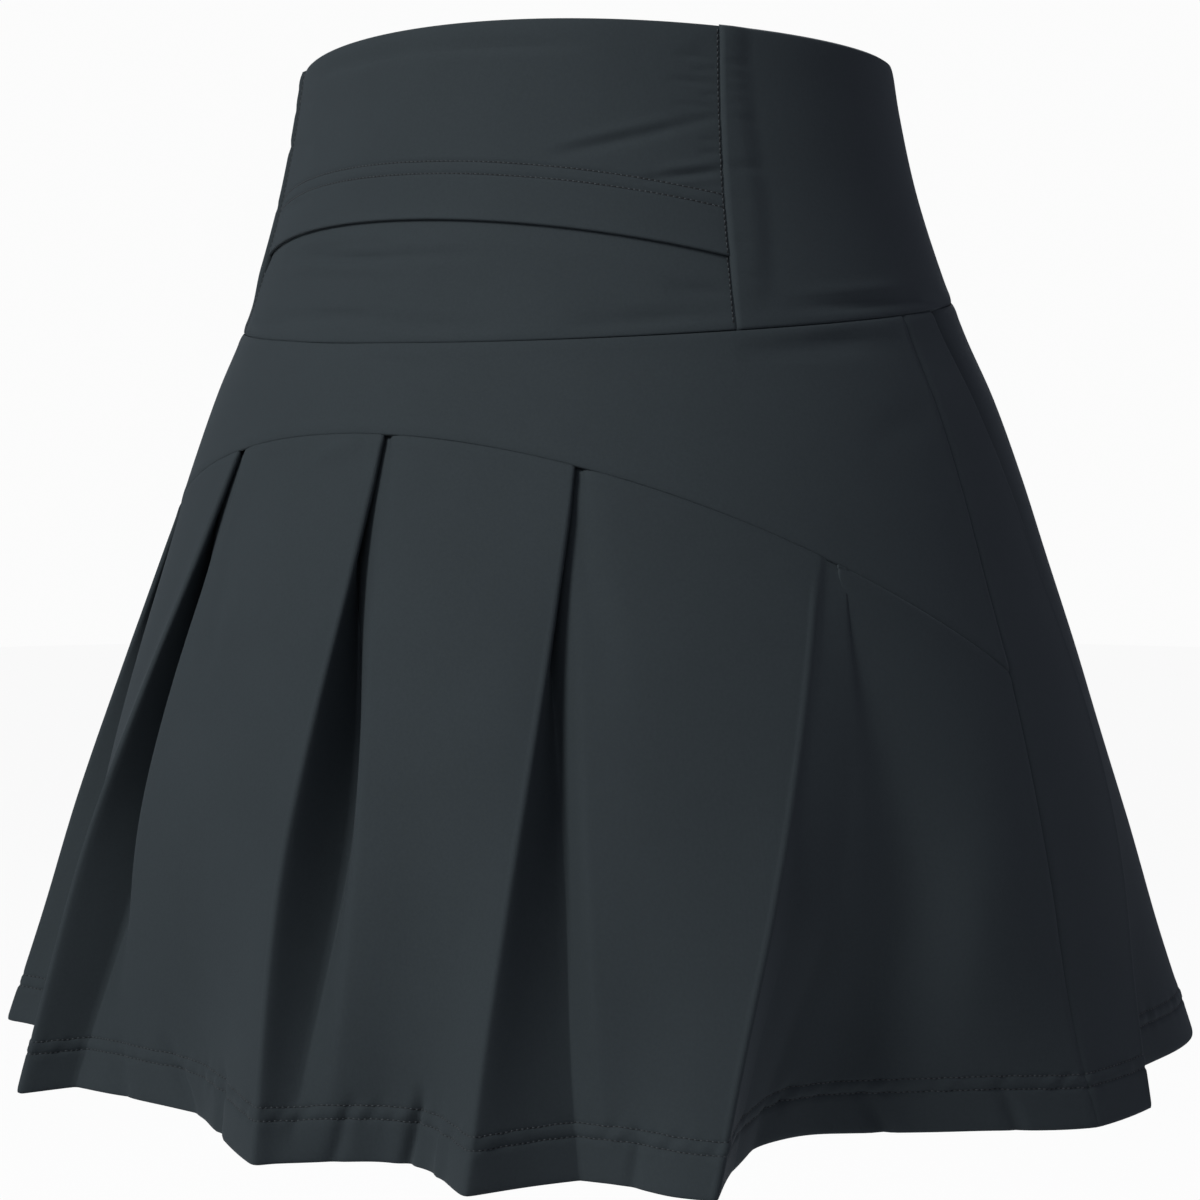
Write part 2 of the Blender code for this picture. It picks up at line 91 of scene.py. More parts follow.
PLEAT_MIDDLE = [
    # crest, lift, inner, inner_depth, edge, edge_depth, sag, sag_depth, shoulder, shoulder_depth
    (-56.0, 0.005, -53.0, 0.019, -50.0, 0.006, -44.5, 0.005, -38.5, 0.001),
    (-34.8, 0.004, -35.6, 0.025, -26.6, 0.003, -17.0, 0.005, -7.0, 0.003),
    (-0.8, 0.000, 1.6, 0.028, 7.0, 0.003, 13.5, 0.005, 19.5, 0.003),
    (24.0, 0.000, 27.6, 0.020, 30.6, 0.007, 37.0, 0.005, 45.0, 0.002),
    (49.4, 0.000, 51.8, 0.006, 57.0, 0.014, 66.0, 0.020, 75.0, 0.010),
]
PLEAT_HEM = [
    (-53.5, 0.0075, -50.5, 0.007, -47.0, 0.018, -41.5, 0.022, -34.0, 0.000),
    (-27.5, 0.014, -27.0, 0.009, -21.6, 0.020, -13.0, 0.029, -7.0, 0.022),
    (3.2, 0.002, 5.2, 0.007, 7.8, 0.015, 12.6, 0.024, 17.6, 0.020),
    (22.7, 0.004, 31.0, 0.021, 34.0, 0.018, 36.0, 0.014, 39.2, 0.004),
    (42.6, 0.002, 45.0, 0.026, 48.0, 0.042, 58.0, 0.050, 72.0, 0.034),
]
PLEAT_AT_SEAM = [-53.4, -28.9, 0.2, 27.1, 57.2]  # crest angles on the arched seam
OPENING = 0.35  # share of the height over which a tucked fold turns out
PLEAT_OPENING = [OPENING, OPENING, OPENING, OPENING, 0.08]
FLAT_OPENING = 0.3  # a pleat that opens sooner isn't folded at the seam
FLAT_INNER, FLAT_EDGE = (1.5, 0.0008), (4.0, 0.0006)  # its angles past the crest, and depths
TUCK = 5.4  # angle that a closed pleat reaches back under its crest
TUCK_LAYERS = 1.5  # layers that lie over the inner fold's middle at the seam
PANEL_LAYERS = 2.0  # and over the next panel's edge
PANEL_STEP = 0.5  # angle from a crest to that edge at the seam
SAG_SHARE, SHOULDER_SHARE = 0.14, 0.8  # where a panel's sag and shoulder meet the seam
FLANK_HOLLOW = 0.10  # how hollow a flank is, in shares of its depth
FLANK_OPENING = (0.08, 0.35)  # shares of the height between which it comes to be so
MIDDLE = 0.55  # share of the height at which the tables' middle rows stand
LEFT_SAG = (-70.0, 0.003, 0.014)  # angle, and recess at the middle and the hem
FRONT_SEAM_CREST = 94.0
FRONT_TUCK = 4.4
FRONT_RISE = 7.0  # angle from the crest to the panel's rise at the waistband
FRONT_MIDDLE = (101.5, 0.001, 104.5, 0.012, 107.5, 0.010, 115.0, 0.005)
FRONT_HEM = (95.6, -0.007, 99.5, 0.028, 106.0, 0.032, 113.0, 0.019)
FRONT_FLUTES = [
    # angle, recess at the middle, recess at the hem
    (126.0, 0.001, -0.003),
    (138.0, 0.001, 0.008),
    (151.0, 0.001, 0.015),
    (166.0, 0.000, 0.005),
    (180.0, 0.000, 0.000),
]
SHORTS_LAP, SHORTS_LAP_FOOT = 0.008, 0.0018  # the shorts' lap inside the waistband
SHORTS_TUCK = 0.0052  # recess at the waistband's lower edge
SHORTS_SNUG = 0.4  # share of the hips' height in which they come in to the figure
SHORTS_HIP = [
    # depth, half_width, half_depth
    (0.090, 0.1450, 0.1110),
    (0.115, 0.1530, 0.1160),
    (0.140, 0.1595, 0.1205),
    (0.180, 0.1665, 0.1250),
    (0.215, 0.1710, 0.1250),
    (0.262, 0.1760, 0.1180),
]
SHORTS_LEG = [
    # depth, inseam, outer_side, half_depth
    (0.262, 0.0009, 0.1780, 0.0930),
    (0.300, 0.0040, 0.1765, 0.0910),
    (0.335, 0.0085, 0.1745, 0.0885),
]
LEG_BACKWARD = 0.004
RISE_START, RISE_END = 0.215, 0.262
INSEAM_GAP = 0.0006

# ---- sizes of the finish ----
NEEDLE_ROWS = (0.0150, 0.0198)  # heights of the hem's two needle rows above its edge
POCKET_ROWS = (0.0168, 0.0214)  # and of the pocket's
UPRIGHT_INSET = 0.0010  # how far inside a band's edge its upright seam is sewn
STITCH, STITCH_GAP = 0.00120, 0.00090
THREAD = 0.00026  # radius of the sewing thread
NEEDLE_HOLE = 0.00060  # radius of the small pit where it goes in
CREST_ROUND = 0.0013  # how softly a crest is rounded below the seam
FOLD_ROUND = 0.0006  # and a pressed inner fold
CREST_OPENING = (0.02, 0.45)  # shares of the height between which a crest softens
PRESSED_REACH = 0.006  # how far a pressed fold stays crisp to each side
RIM_SHARE = 0.3  # how far a wall's edge is rounded out, in thicknesses
SEAM_EDGE = 0.0001  # where the shorts' crotch seam edges stop short of the middle
SEAM_COLUMNS = 1.5  # and the columns over which they come in to it
BAND_DEGREE, SIDE_DEGREE = 0.0022, 0.0030  # metres along the cloth in one degree

HEM_STEP = (0.0002, 0.0016)  # where the doubled hem ends, above its upper needle row
PUCKER_WAVES = ((0.0083, 1.0, 0.0), (0.0131, 0.8, 1.0))  # wavelength, share, shift
STRIP_FOOT = (-0.098, -0.080)  # heights over which the strip by an upright seam starts
STRIP_BELLY, STRIP_BELLY_HEIGHT, STRIP_BELLY_REACH = 0.004, -0.055, 0.03  # where it is wider
CREASE_CLEAR = (0.004, 0.010)  # distances from a crest between which creases fade in
POCKET_CLEAR, POCKET_STEP = (0.0008, 0.004), 0.010  # below the pocket: creases, back band

# How fine the grids are: columns and rows, where the rows at the edges are given apart.
SHEET_ROWS = 120  # rows at which a pleated section is worked out
PATH_STEP = 0.0004  # step at which its folds are rounded
PANEL_ROWS = 78  # rows of a skirt panel between its edges
SEAM_ROWS = (0.0, 0.0005, 0.0011, 0.0019, 0.003, 0.0045, 0.0065, 0.009)
HEM_ROWS = (0.0, 0.0006, 0.0016, 0.0035, 0.006, 0.009, 0.0118, 0.0136, 0.0144, 0.0150, 0.0156,
            0.0164, 0.0174, 0.0184, 0.0192, 0.0198, 0.0204, 0.0212, 0.0224, 0.0245, 0.0275)
SHORTS_COLUMNS = 120
LAP_ROWS, HIP_ROWS, RISE_ROWS, LEG_ROWS = 5, 30, 15, 35

# Creases, listed one by one: a line from one point to another, with its half width and height.
# A negative height is a trough, a positive one a ridge.
POCKET_CREASES = [
    # angle_1, height_1, angle_2, height_2, width, height
    (-44, -0.004, -4, 0.003, 0.0026, -0.00082),
    (-12, 0.003, 30, 0.003, 0.0024, -0.00068),
    (21, -0.038, 44, -0.0275, 0.0026, -0.00113),
    (22, -0.034, 46, -0.0235, 0.0024, 0.00068),
    (38, -0.03, 54, -0.0225, 0.0022, -0.00075),
    (37, -0.0465, 53, -0.043, 0.0016, -0.00113),
    (40, -0.043, 53.5, -0.0395, 0.0018, 0.0006),
    (43, -0.0495, 53, -0.0485, 0.0014, -0.00035),
    (47.5, 0.003, 53, 0.0016, 0.001, -0.00045),
    (44, -0.0008, 53, -0.0024, 0.0013, -0.0005),
    (47, -0.0066, 53, -0.0063, 0.001, -0.00028),
    (42.5, -0.0098, 53, -0.0118, 0.0014, -0.0005),
    (48.5, -0.0158, 53, -0.0154, 0.001, -0.00028),
    (43, -0.0186, 53, -0.0206, 0.0013, -0.00038),
    (48, -0.0315, 52.5, -0.0325, 0.0011, -0.00035),
    (47.5, -0.0365, 52.5, -0.037, 0.0011, -0.00035),
    (-47, -0.056, -30, -0.052, 0.0024, -0.00075),
    (-49, -0.03, -34, -0.033, 0.0028, -0.0006),
    (-50, -0.012, -38, -0.015, 0.0022, -0.00052),
]
LOWER_BACK_CREASES = [
    (-38, -0.0735, -4, -0.0755, 0.0022, -0.00168),
    (-34, -0.078, -2, -0.079, 0.0024, 0.00094),
    (-20, -0.075, 12, -0.0735, 0.002, -0.00094),
    (-33, -0.0715, -3, -0.0695, 0.0016, -0.00094),
    (-46, -0.101, -6, -0.0965, 0.0024, -0.00147),
    (-20, -0.097, 16, -0.101, 0.0022, -0.00126),
    (-30, -0.1, 2, -0.1005, 0.0018, 0.00073),
    (24, -0.0995, 44, -0.096, 0.0022, -0.00116),
    (34, -0.0965, 51, -0.0955, 0.002, -0.00094),
    (40, -0.085, 51, -0.088, 0.002, -0.00084),
]
FRONT_BAND_CREASES = [
    (53, 0.001, 60, 0, 0.0012, -0.00075),
    (53, -0.0038, 59.5, -0.0044, 0.0012, -0.00075),
    (53, -0.009, 58, -0.0096, 0.0011, -0.00045),
    (53, -0.0136, 58.5, -0.014, 0.0011, -0.00045),
    (53, -0.0185, 57.5, -0.019, 0.0011, -0.0004),
    (53, -0.024, 61, -0.0262, 0.0014, -0.00045),
    (52.5, -0.042, 60, -0.0428, 0.0015, -0.00082),
    (52, -0.0535, 57, -0.054, 0.0011, -0.0003),
    (51.5, -0.069, 56, -0.07, 0.0012, -0.00035),
    (51, -0.082, 57, -0.083, 0.0013, -0.00035),
    (58, -0.093, 92, -0.0905, 0.0026, -0.0015),
    (60, -0.0885, 88, -0.086, 0.0026, 0.00075),
    (84, -0.09, 108, -0.0935, 0.0022, -0.0009),
    (118, -0.097, 150, -0.09, 0.0024, -0.0009),
    (150, -0.0935, 196, -0.0945, 0.0026, -0.00075),
    (206, -0.09, 246, -0.096, 0.0026, -0.00105),
    (252, -0.093, 292, -0.0955, 0.0024, -0.00105),
    (299, -0.033, 309, -0.03, 0.002, -0.00075),
    (298, -0.002, 307.5, -0.001, 0.0013, -0.0005),
    (300, -0.009, 307.5, -0.0085, 0.0012, -0.00045),
    (299, -0.017, 307.5, -0.016, 0.0013, -0.00045),
    (301, -0.056, 308.5, -0.055, 0.0013, -0.0004),
]
YOKE_CREASES = [
    (50, -0.109, 74, -0.1045, 0.0034, -0.00162),
    (62, -0.1045, 82, -0.106, 0.003, -0.00099),
    (-24, -0.108, -2, -0.1095, 0.003, -0.00072),
    (-10, -0.1085, 8, -0.112, 0.0026, 0.00045),
    (-80, -0.11, -54, -0.109, 0.0032, -0.00126),
    (66, -0.144, 82.5, -0.129, 0.006, -0.00045),
    (-82, -0.132, -66, -0.145, 0.0055, -0.0005),
]
BACK_CREASES = [
    (-11, -0.15, -2.5, -0.143, 0.003, 0.0011),
    (-49, -0.37, -43, -0.4, 0.003, -0.00225),
    (-24.5, -0.369, -21, -0.4, 0.0032, -0.00255),
    (-18, -0.368, -11.5, -0.397, 0.0034, -0.00255),
    (-5.8, -0.367, -5, -0.404, 0.0028, -0.00285),
    (9.5, -0.37, 8, -0.402, 0.0026, -0.0018),
    (16.2, -0.365, 14, -0.406, 0.0027, -0.00375),
    (19.6, -0.37, 18.6, -0.402, 0.0022, 0.00165),
    (36.8, -0.372, 35.6, -0.4, 0.0026, -0.0015),
    (50.4, -0.376, 53.6, -0.365, 0.0024, -0.00195),
    (61, -0.37, 66, -0.401, 0.0032, -0.00195),
    (76, -0.371, 79, -0.4, 0.003, -0.0018),
    (28, -0.162, 33, -0.23, 0.006, -0.0009),
    (-24, -0.17, -20, -0.24, 0.006, -0.0008),
]
FRONT_CREASES = [
    (104, -0.372, 110, -0.386, 0.0026, -0.00112),
    (132, -0.37, 140, -0.385, 0.0026, -0.00112),
    (176, -0.37, 184, -0.385, 0.0026, -0.00096),
    (224, -0.37, 232, -0.386, 0.0026, -0.00112),
    (262, -0.37, 256, -0.386, 0.0026, -0.00112),
]


# ---- interpolation ----
def hermite(start, leaving, end, arriving, u):
    """The smooth curve from start to end with those slopes, at u from 0 to 1."""
    return (start * (2 * u**3 - 3 * u**2 + 1) + leaving * (u**3 - 2 * u**2 + u)
            + end * (3 * u**2 - 2 * u**3) + arriving * (u**3 - u**2))


def lookup(rows, key):
    """Smooth values between a table's rows for an array of keys: one array per column."""
    rows = np.array(rows, dtype=float)
    keys, values = rows[:, 0], rows[:, 1:]
    last = len(keys) - 1
    key = np.clip(np.asarray(key, dtype=float), keys[0], keys[-1])
    i = np.clip(np.searchsorted(keys, key, side="right") - 1, 0, last - 1)
    low, high = np.maximum(np.arange(last + 1) - 1, 0), np.minimum(np.arange(last + 1) + 1, last)
    slopes = (values[high] - values[low]) / (keys[high] - keys[low])[:, None]
    span = (keys[i + 1] - keys[i])[..., None]
    u = (key - keys[i])[..., None] / span
    result = hermite(values[i], slopes[i] * span, values[i + 1], slopes[i + 1] * span, u)
    return [result[..., k] for k in range(result.shape[-1])]


def smoothstep(low, high, value):
    u = np.clip((np.asarray(value, dtype=float) - low) / (high - low), 0.0, 1.0)
    return u * u * (3 - 2 * u)


def blend(start, end, u):
    return start + (end - start) * u


def bump(value, centre, width):
    """1 at the centre, fading softly over the width."""
    return np.exp(-((value - centre) / width) ** 2)


# ---- the outer form and its edges ----
def edge_height(edge, angle):
    a = np.radians(angle)
    return (edge["mean"] + edge["back"] * np.cos(a) + edge["lean"] * np.sin(a)
            + edge["sides"] * np.cos(2 * a))


def top_height(angle):
    return edge_height(TOP_EDGE, angle)


def band_bottom(angle):
    return edge_height(BAND_EDGE, angle)


def yoke_height(angle):
    return YOKE_TOP - YOKE_DROP * (angle / SIDE_SEAM) ** 2


def pocket_height(angle):
    return POCKET_TOP - POCKET_DROP * (angle / BAND_SEAM) ** 2


def hem_height(angle):
    return HEM_HEIGHT + lookup(HEM_RISE, angle)[0]


def form_point(angle, height, recess):
    half_width, half_depth, backward = lookup(FORM, -height)
    a = np.radians(angle)
    x, y = -half_width * np.sin(a), half_depth * np.cos(a)
    nx, ny = x / half_width**2, y / half_depth**2
    length = np.hypot(nx, ny)
    return np.stack([x - recess * nx / length, backward + y - recess * ny / length,
                     height + 0.0 * x], axis=-1)


def band_seam(height):
    return blend(BAND_SEAM, BAND_SEAM_TOP, (height - BAND_EDGE["mean"]) / -BAND_EDGE["mean"])


def side_seam(height):
    corner = yoke_height(SIDE_SEAM)
    u = np.maximum(0.0, (height - corner) / (HEM_HEIGHT - corner))
    return blend(SIDE_SEAM, SIDE_SEAM_HEM, u)


def gap_angle(height):
    return np.degrees(0.5 * SEAM_GAP / lookup(FORM, -height)[1])


def side_recess(height):
    return CLOTH / 2 + SIDE_SINK * smoothstep(*SIDE_SINK_DEPTHS, -height)


def from_back(angle):
    """An angle of 0 to 360 degrees as -180 to 180."""
    return np.where(angle <= 180.0, angle, angle - 360.0)


# ---- meshes from grids of points ----
def unit(vectors):
    return vectors / np.maximum(np.linalg.norm(vectors, axis=-1, keepdims=True), 1e-12)


def normals(grid):
    """Unit normals of a grid, which point out of the garment."""
    down, along = np.gradient(grid, axis=0), np.gradient(grid, axis=1)
    return unit(np.cross(down, along))


def arc_lengths(grid, axis):
    steps = np.linalg.norm(np.diff(grid, axis=axis), axis=-1)
    start = np.zeros_like(np.take(steps, [0], axis=axis))
    return np.concatenate([start, np.cumsum(steps, axis=axis)], axis=axis)


def make_object(name, points, faces, material, uv=None):
    """A smooth mesh from an array of points and a list of faces."""
    mesh = bpy.data.meshes.new(name)
    mesh.from_pydata(points.tolist(), [], faces)
    if uv is not None:
        layer = mesh.uv_layers.new(name="cloth")
        loops = np.empty(len(mesh.loops), dtype=np.int32)
        mesh.loops.foreach_get("vertex_index", loops)
        layer.data.foreach_set("uv", uv[loops].astype(np.float32).ravel())
    mesh.shade_smooth()
    mesh.materials.append(material)
    piece = bpy.data.objects.new(name, mesh)
    bpy.context.scene.collection.objects.link(piece)
    return piece


def shell(name, grid, thickness, material, relief=0.0, follow=1.0):
    """A closed wall of that thickness, centred on the grid, with rounded edges.

    The relief moves its outer face, and its inner face by the share that follows.
    """
    rows, columns = grid.shape[:2]
    relief = np.broadcast_to(relief, (rows, columns))[..., None]
    normal = normals(grid)
    outer = grid + normal * (thickness / 2 + relief)
    inner = grid + normal * (follow * relief - thickness / 2)
    index = np.arange(rows * columns).reshape(rows, columns)
    border = np.concatenate([index[0, :-1], index[:-1, -1], index[-1, :0:-1], index[:0:-1, 0]])
    away = np.zeros_like(grid)
    away[0] += unit(grid[0] - grid[1])
    away[-1] += unit(grid[-1] - grid[-2])
    away[:, 0] += unit(grid[:, 0] - grid[:, 1])
    away[:, -1] += unit(grid[:, -1] - grid[:, -2])
    rim = ((outer + inner) / 2 + away * thickness * RIM_SHARE).reshape(-1, 3)[border]
    count = rows * columns
    corners = [index[:-1, :-1], index[1:, :-1], index[1:, 1:], index[:-1, 1:]]
    quads = np.stack(corners, -1).reshape(-1, 4)
    following = np.roll(border, -1)
    rims = 2 * count + np.arange(len(border))
    after = np.roll(rims, -1)
    faces = np.concatenate([
        quads,
        quads[:, ::-1] + count,
        np.stack([border, following, after, rims], -1),
        np.stack([rims, after, following + count, border + count], -1),
    ])
    points = np.concatenate([outer.reshape(-1, 3), inner.reshape(-1, 3), rim])
    across = arc_lengths(grid, 1)
    across -= across[:, columns // 2:columns // 2 + 1]
    uv = np.stack([across, arc_lengths(grid, 0)], -1).reshape(-1, 2)
    return make_object(name, points, faces.tolist(), material,
                       np.concatenate([uv, uv, uv[border]]))


# ---- pleated sections ----
def through(seam, middle, hem, v):
    return lookup([(0.0, seam), (MIDDLE, middle), (1.0, hem)], v)[0]


def fold_nodes(v, radius, seam_crest, tuck, middle, hem, opening=OPENING):
    """The corners of one pleat as (angle, recess), each an array with a value per row.

    The crest and the inner fold are each a pair of corners, one layer apart. They are
    stacked at the seam, unless the pleat is flat there, and turn side by side below it.
    """
    layer, base = CLOTH + LAYER_GAP, CLOTH / 2
    flat = opening < FLAT_OPENING
    raised, turn = layer / 2, smoothstep(0.0, opening, v) * math.pi / 2
    inner_at_seam, edge_at_seam = (-tuck, TUCK_LAYERS * layer), (PANEL_STEP, PANEL_LAYERS * layer)
    if flat:
        raised, turn = 0.0, math.pi / 2
        inner_at_seam, edge_at_seam = FLAT_INNER, FLAT_EDGE
    crest = through(seam_crest, middle[0], hem[0], v)
    crest_depth = base + raised - through(0.0, middle[1], hem[1], v)
    inner = through(seam_crest + inner_at_seam[0], middle[2], hem[2], v)
    inner_depth = base + through(inner_at_seam[1], middle[3], hem[3], v)
    edge = through(seam_crest + edge_at_seam[0], middle[4], hem[4], v)
    edge_depth = base + through(edge_at_seam[1], middle[5], hem[5], v)
    run, drop = np.radians(edge - crest) * radius, edge_depth - crest_depth
    length = np.hypot(run, drop)
    nodes = []
    for angle, depth, across, inward in ((crest, crest_depth, np.sin(turn), np.cos(turn)),
                                         (inner, inner_depth, run / length, drop / length)):
        for half in (-layer / 2, layer / 2):
            nodes.append(np.stack([angle + np.degrees(half * across / radius),
                                   depth + half * inward], -1))
    return nodes + [np.stack([edge, edge_depth], -1)]


def spans(nodes, curved):
    """Functions of u, one for each span between the nodes, that give (row, sample, 2).

    A curved chain of spans runs smoothly through its nodes, a straight one has corners.
    """
    stack = np.stack(nodes, axis=1)
    slopes = np.empty_like(stack)
    slopes[:, 1:-1] = (stack[:, 2:] - stack[:, :-2]) / 2
    slopes[:, 0], slopes[:, -1] = stack[:, 1] - stack[:, 0], stack[:, -1] - stack[:, -2]

    def span(k):
        (start, end), (leaving, arriving) = [(rows[:, k:k + 1], rows[:, k + 1:k + 2])
                                             for rows in (stack, slopes)]

        def at(u):
            u = u[None, :, None]
            return hermite(start, leaving, end, arriving, u) if curved else blend(start, end, u)
        return at
    return [span(k) for k in range(len(nodes) - 1)]


def hollow(at, share):
    """A span whose middle lies in by a share of its own depth."""
    def deeper(u):
        points = at(u)
        drop = points[:, -1:, 1] - points[:, :1, 1]
        points[..., 1] += share[:, None] * drop * np.sin(math.pi * u)[None, :]
        return points
    return deeper


def place(at_seam, v, angles, depths):
    """One corner of a panel as (angle, recess), from its places at the middle and the hem."""
    return np.stack([through(at_seam, *angles, v), CLOTH / 2 + through(0.0, *depths, v)], -1)


def back_spans(v, radius, seam_angle, seam_depth):
    """The spans of the pleated back and their kinds, from the left side seam to the right."""
    folds = [fold_nodes(v, radius, seam, TUCK, middle, hem, opening) for seam, middle, hem, opening
             in zip(PLEAT_AT_SEAM, PLEAT_MIDDLE, PLEAT_HEM, PLEAT_OPENING)]
    start = np.stack([-seam_angle, seam_depth], -1)
    finish = np.stack([seam_angle, seam_depth], -1)
    angle, depths = LEFT_SAG[0], LEFT_SAG[1:]
    left = place(angle, v, (angle, angle), depths)
    kinds, pieces = ["start", "to_crest"], spans([start, left, folds[0][0]], True)
    hollowness = FLANK_HOLLOW * smoothstep(*FLANK_OPENING, v)
    for k, (middle, hem) in enumerate(zip(PLEAT_MIDDLE, PLEAT_HEM)):
        last = k + 1 == len(folds)
        seam, following = PLEAT_AT_SEAM[k], SIDE_SEAM if last else PLEAT_AT_SEAM[k + 1]
        sag = place(blend(seam, following, SAG_SHARE), v, (middle[6], hem[6]), (middle[7], hem[7]))
        shoulder = place(blend(seam, following, SHOULDER_SHARE), v, (middle[8], hem[8]),
                         (middle[9], hem[9]))
        crest, flank, inner, out = spans(folds[k], False)
        pieces += [crest, hollow(flank, hollowness), inner, out]
        kinds += ["crest_side" if last else "crest", "flank_in", "inner", "flank_out"]
        pieces += spans([folds[k][4], sag, shoulder, finish if last else folds[k + 1][0]], True)
        kinds += ["edge", "panel", "panel_end" if last else "to_crest"]
    return kinds, pieces


def front_spans(v, radius, seam_angle, seam_depth):
    """The spans of the front: its right half to the centre, then the same mirrored."""
    fold = fold_nodes(v, radius, FRONT_SEAM_CREST, FRONT_TUCK, FRONT_MIDDLE, FRONT_HEM)
    rise = place(FRONT_SEAM_CREST + FRONT_RISE, v, (FRONT_MIDDLE[6], FRONT_HEM[6]),
                 (FRONT_MIDDLE[7], FRONT_HEM[7]))
    flutes = [place(angle, v, (angle, angle), depths) for angle, *depths in FRONT_FLUTES]
    start = np.stack([seam_angle, seam_depth], -1)
    half = spans([start, fold[0]], False) + spans(fold, False)
    half += spans([fold[4], rise] + flutes, True)
    kinds = (["seam_to_crest", "crest", "flank_in", "inner", "flank_out", "edge"]
             + ["panel"] * len(flutes))

    def mirrored(at):
        def other(u):
            points = at(1.0 - u)
            return np.stack([360.0 - points[..., 0], points[..., 1]], -1)
        return other
    mirror_kinds = {"seam_to_crest": "crest_to_seam", "flank_in": "flank_back",
                    "flank_out": "flank_out_back"}
    pieces = half + [mirrored(at) for at in reversed(half)]
    return kinds + [mirror_kinds.get(kind, kind) for kind in reversed(kinds)], pieces


# Columns of each kind of span, and which way they crowd: 1 toward its end, -1 its start, 2 both.
SPAN_COLUMNS = {
    "start": (26, -1), "to_crest": (17, 1), "crest": (3, 0), "crest_side": (3, 0),
    "seam_to_crest": (16, 2), "crest_to_seam": (16, 2), "flank_in": (9, -1),
    "flank_back": (9, 1), "inner": (2, 0), "flank_out": (6, 0), "flank_out_back": (6, 0),
    "edge": (14, 0), "panel": (20, 0), "panel_end": (26, 1),
}
CROWDING = 1.7
DENSE = 48  # fine samples per span that the rounding works on


def kept_places(kind, extra_columns):
    """The places along one span, from 0 to 1, at which the grid has its columns."""
    columns, crowd = SPAN_COLUMNS[kind]
    columns += extra_columns if kind in ("panel", "edge") else 0
    u = np.arange(columns) / columns
    if crowd == 2:
        return (1.0 - np.cos(math.pi * u)) / 2
    if crowd == 1:
        return 1.0 - (1.0 - u) ** CROWDING
    return u ** CROWDING if crowd < 0 else u


def pleated_grid(spans_of, middle_angle, top, extra_columns=0, crisp_kind=""):
    """A pleated wall's middle surface with rounded folds, its angles and crest distances.

    Rows stand at even fractions of the height. A crest distance is the way along the
    cloth to the nearest pleat's crest. Crests of the crisp kind keep a pressed edge.
    """
    v = np.linspace(0.0, 1.0, SHEET_ROWS)
    radius = lookup(FORM, -blend(top(middle_angle), HEM_HEIGHT, v))[1]
    side = blend(top(SIDE_SEAM), hem_height(SIDE_SEAM), v)
    kinds, pieces = spans_of(v, radius, side_seam(side), side_recess(side))
    dense, keep, tight, crests = [], [], [], []
    count = 0
    for kind, at in zip(kinds, pieces):
        dense.append(at(np.arange(DENSE) / DENSE))
        keep.append(count + kept_places(kind, extra_columns) * DENSE)
        if kind in ("inner", crisp_kind):
            tight.append(count + DENSE / 2)
        if kind.startswith("crest"):
            crests.append(count + DENSE / 2)
        count += DENSE
    dense.append(pieces[-1](np.array([1.0])))
    keep = np.concatenate(keep + [[count]])
    section = np.concatenate(dense, axis=1)
    angle, recess = section[..., 0], section[..., 1]
    facing = from_back(angle)
    height = blend(top(facing), hem_height(facing), v[:, None])
    ends = np.zeros(angle.shape)
    ends[:, 0], ends[:, -1] = 1.0, -1.0
    points = form_point(angle + ends * gap_angle(height), height, recess)
    sigma = blend(FOLD_ROUND, CREST_ROUND, smoothstep(*CREST_OPENING, v))
    grid = np.empty((len(v), len(keep), 3))
    samples = np.arange(count + 1)
    for r in range(len(v)):
        grid[r] = rounded(points[r], sigma[r], tight, samples, keep)
    lengths = arc_lengths(points, 1)
    crest_places = np.stack([np.interp(crests, samples, length) for length in lengths])
    places = np.stack([np.interp(keep, samples, length) for length in lengths])
    nearest = np.abs(places[:, :, None] - crest_places[:, None, :]).min(axis=2)
    angles = np.stack([np.interp(keep, samples, row) for row in angle])
    return grid, angles, nearest


def rounded(path, sigma, tight, samples, keep):
    """A path in plan with its corners rounded, read at the kept samples."""
    lengths = arc_lengths(path, 0)
    even = np.linspace(0.0, lengths[-1], int(lengths[-1] / PATH_STEP))
    line = np.stack([np.interp(even, lengths, path[:, k]) for k in range(3)], -1)
    near = np.zeros(len(even))
    for fold in tight:
        near = np.maximum(near, bump(even, np.interp(fold, samples, lengths), PRESSED_REACH))
    soft, pressed = gaussian(line, sigma / PATH_STEP), gaussian(line, FOLD_ROUND / PATH_STEP)
    line = soft + (pressed - soft) * near[:, None]
    wanted = np.interp(keep, samples, lengths)
    return np.stack([np.interp(wanted, even, line[:, k]) for k in range(3)], -1)


def gaussian(line, width):
    """Smooths a line of points and keeps its two ends where they are."""
    reach = int(4 * width) + 1
    kernel = np.exp(-0.5 * (np.arange(-reach, reach + 1) / width) ** 2)
    kernel /= kernel.sum()
    before = 2 * line[0] - line[reach:0:-1]
    after = 2 * line[-1] - line[-2:-reach - 2:-1]
    padded = np.concatenate([before, line, after])
    return np.stack([np.convolve(padded[:, k], kernel, mode="valid") for k in range(3)], -1)


def row_places(length):
    """Row places from the top edge for columns of these lengths, crowded at both edges."""
    seam, hem = np.array(SEAM_ROWS), np.array(HEM_ROWS)
    between = length - seam[-1] - hem[-1]
    middle = seam[-1] + between[:, None] * (np.arange(1, PANEL_ROWS) / PANEL_ROWS)
    seam_rows = np.broadcast_to(seam, (len(length), len(seam)))
    return np.concatenate([seam_rows, middle, length[:, None] - hem[::-1]], axis=1).T


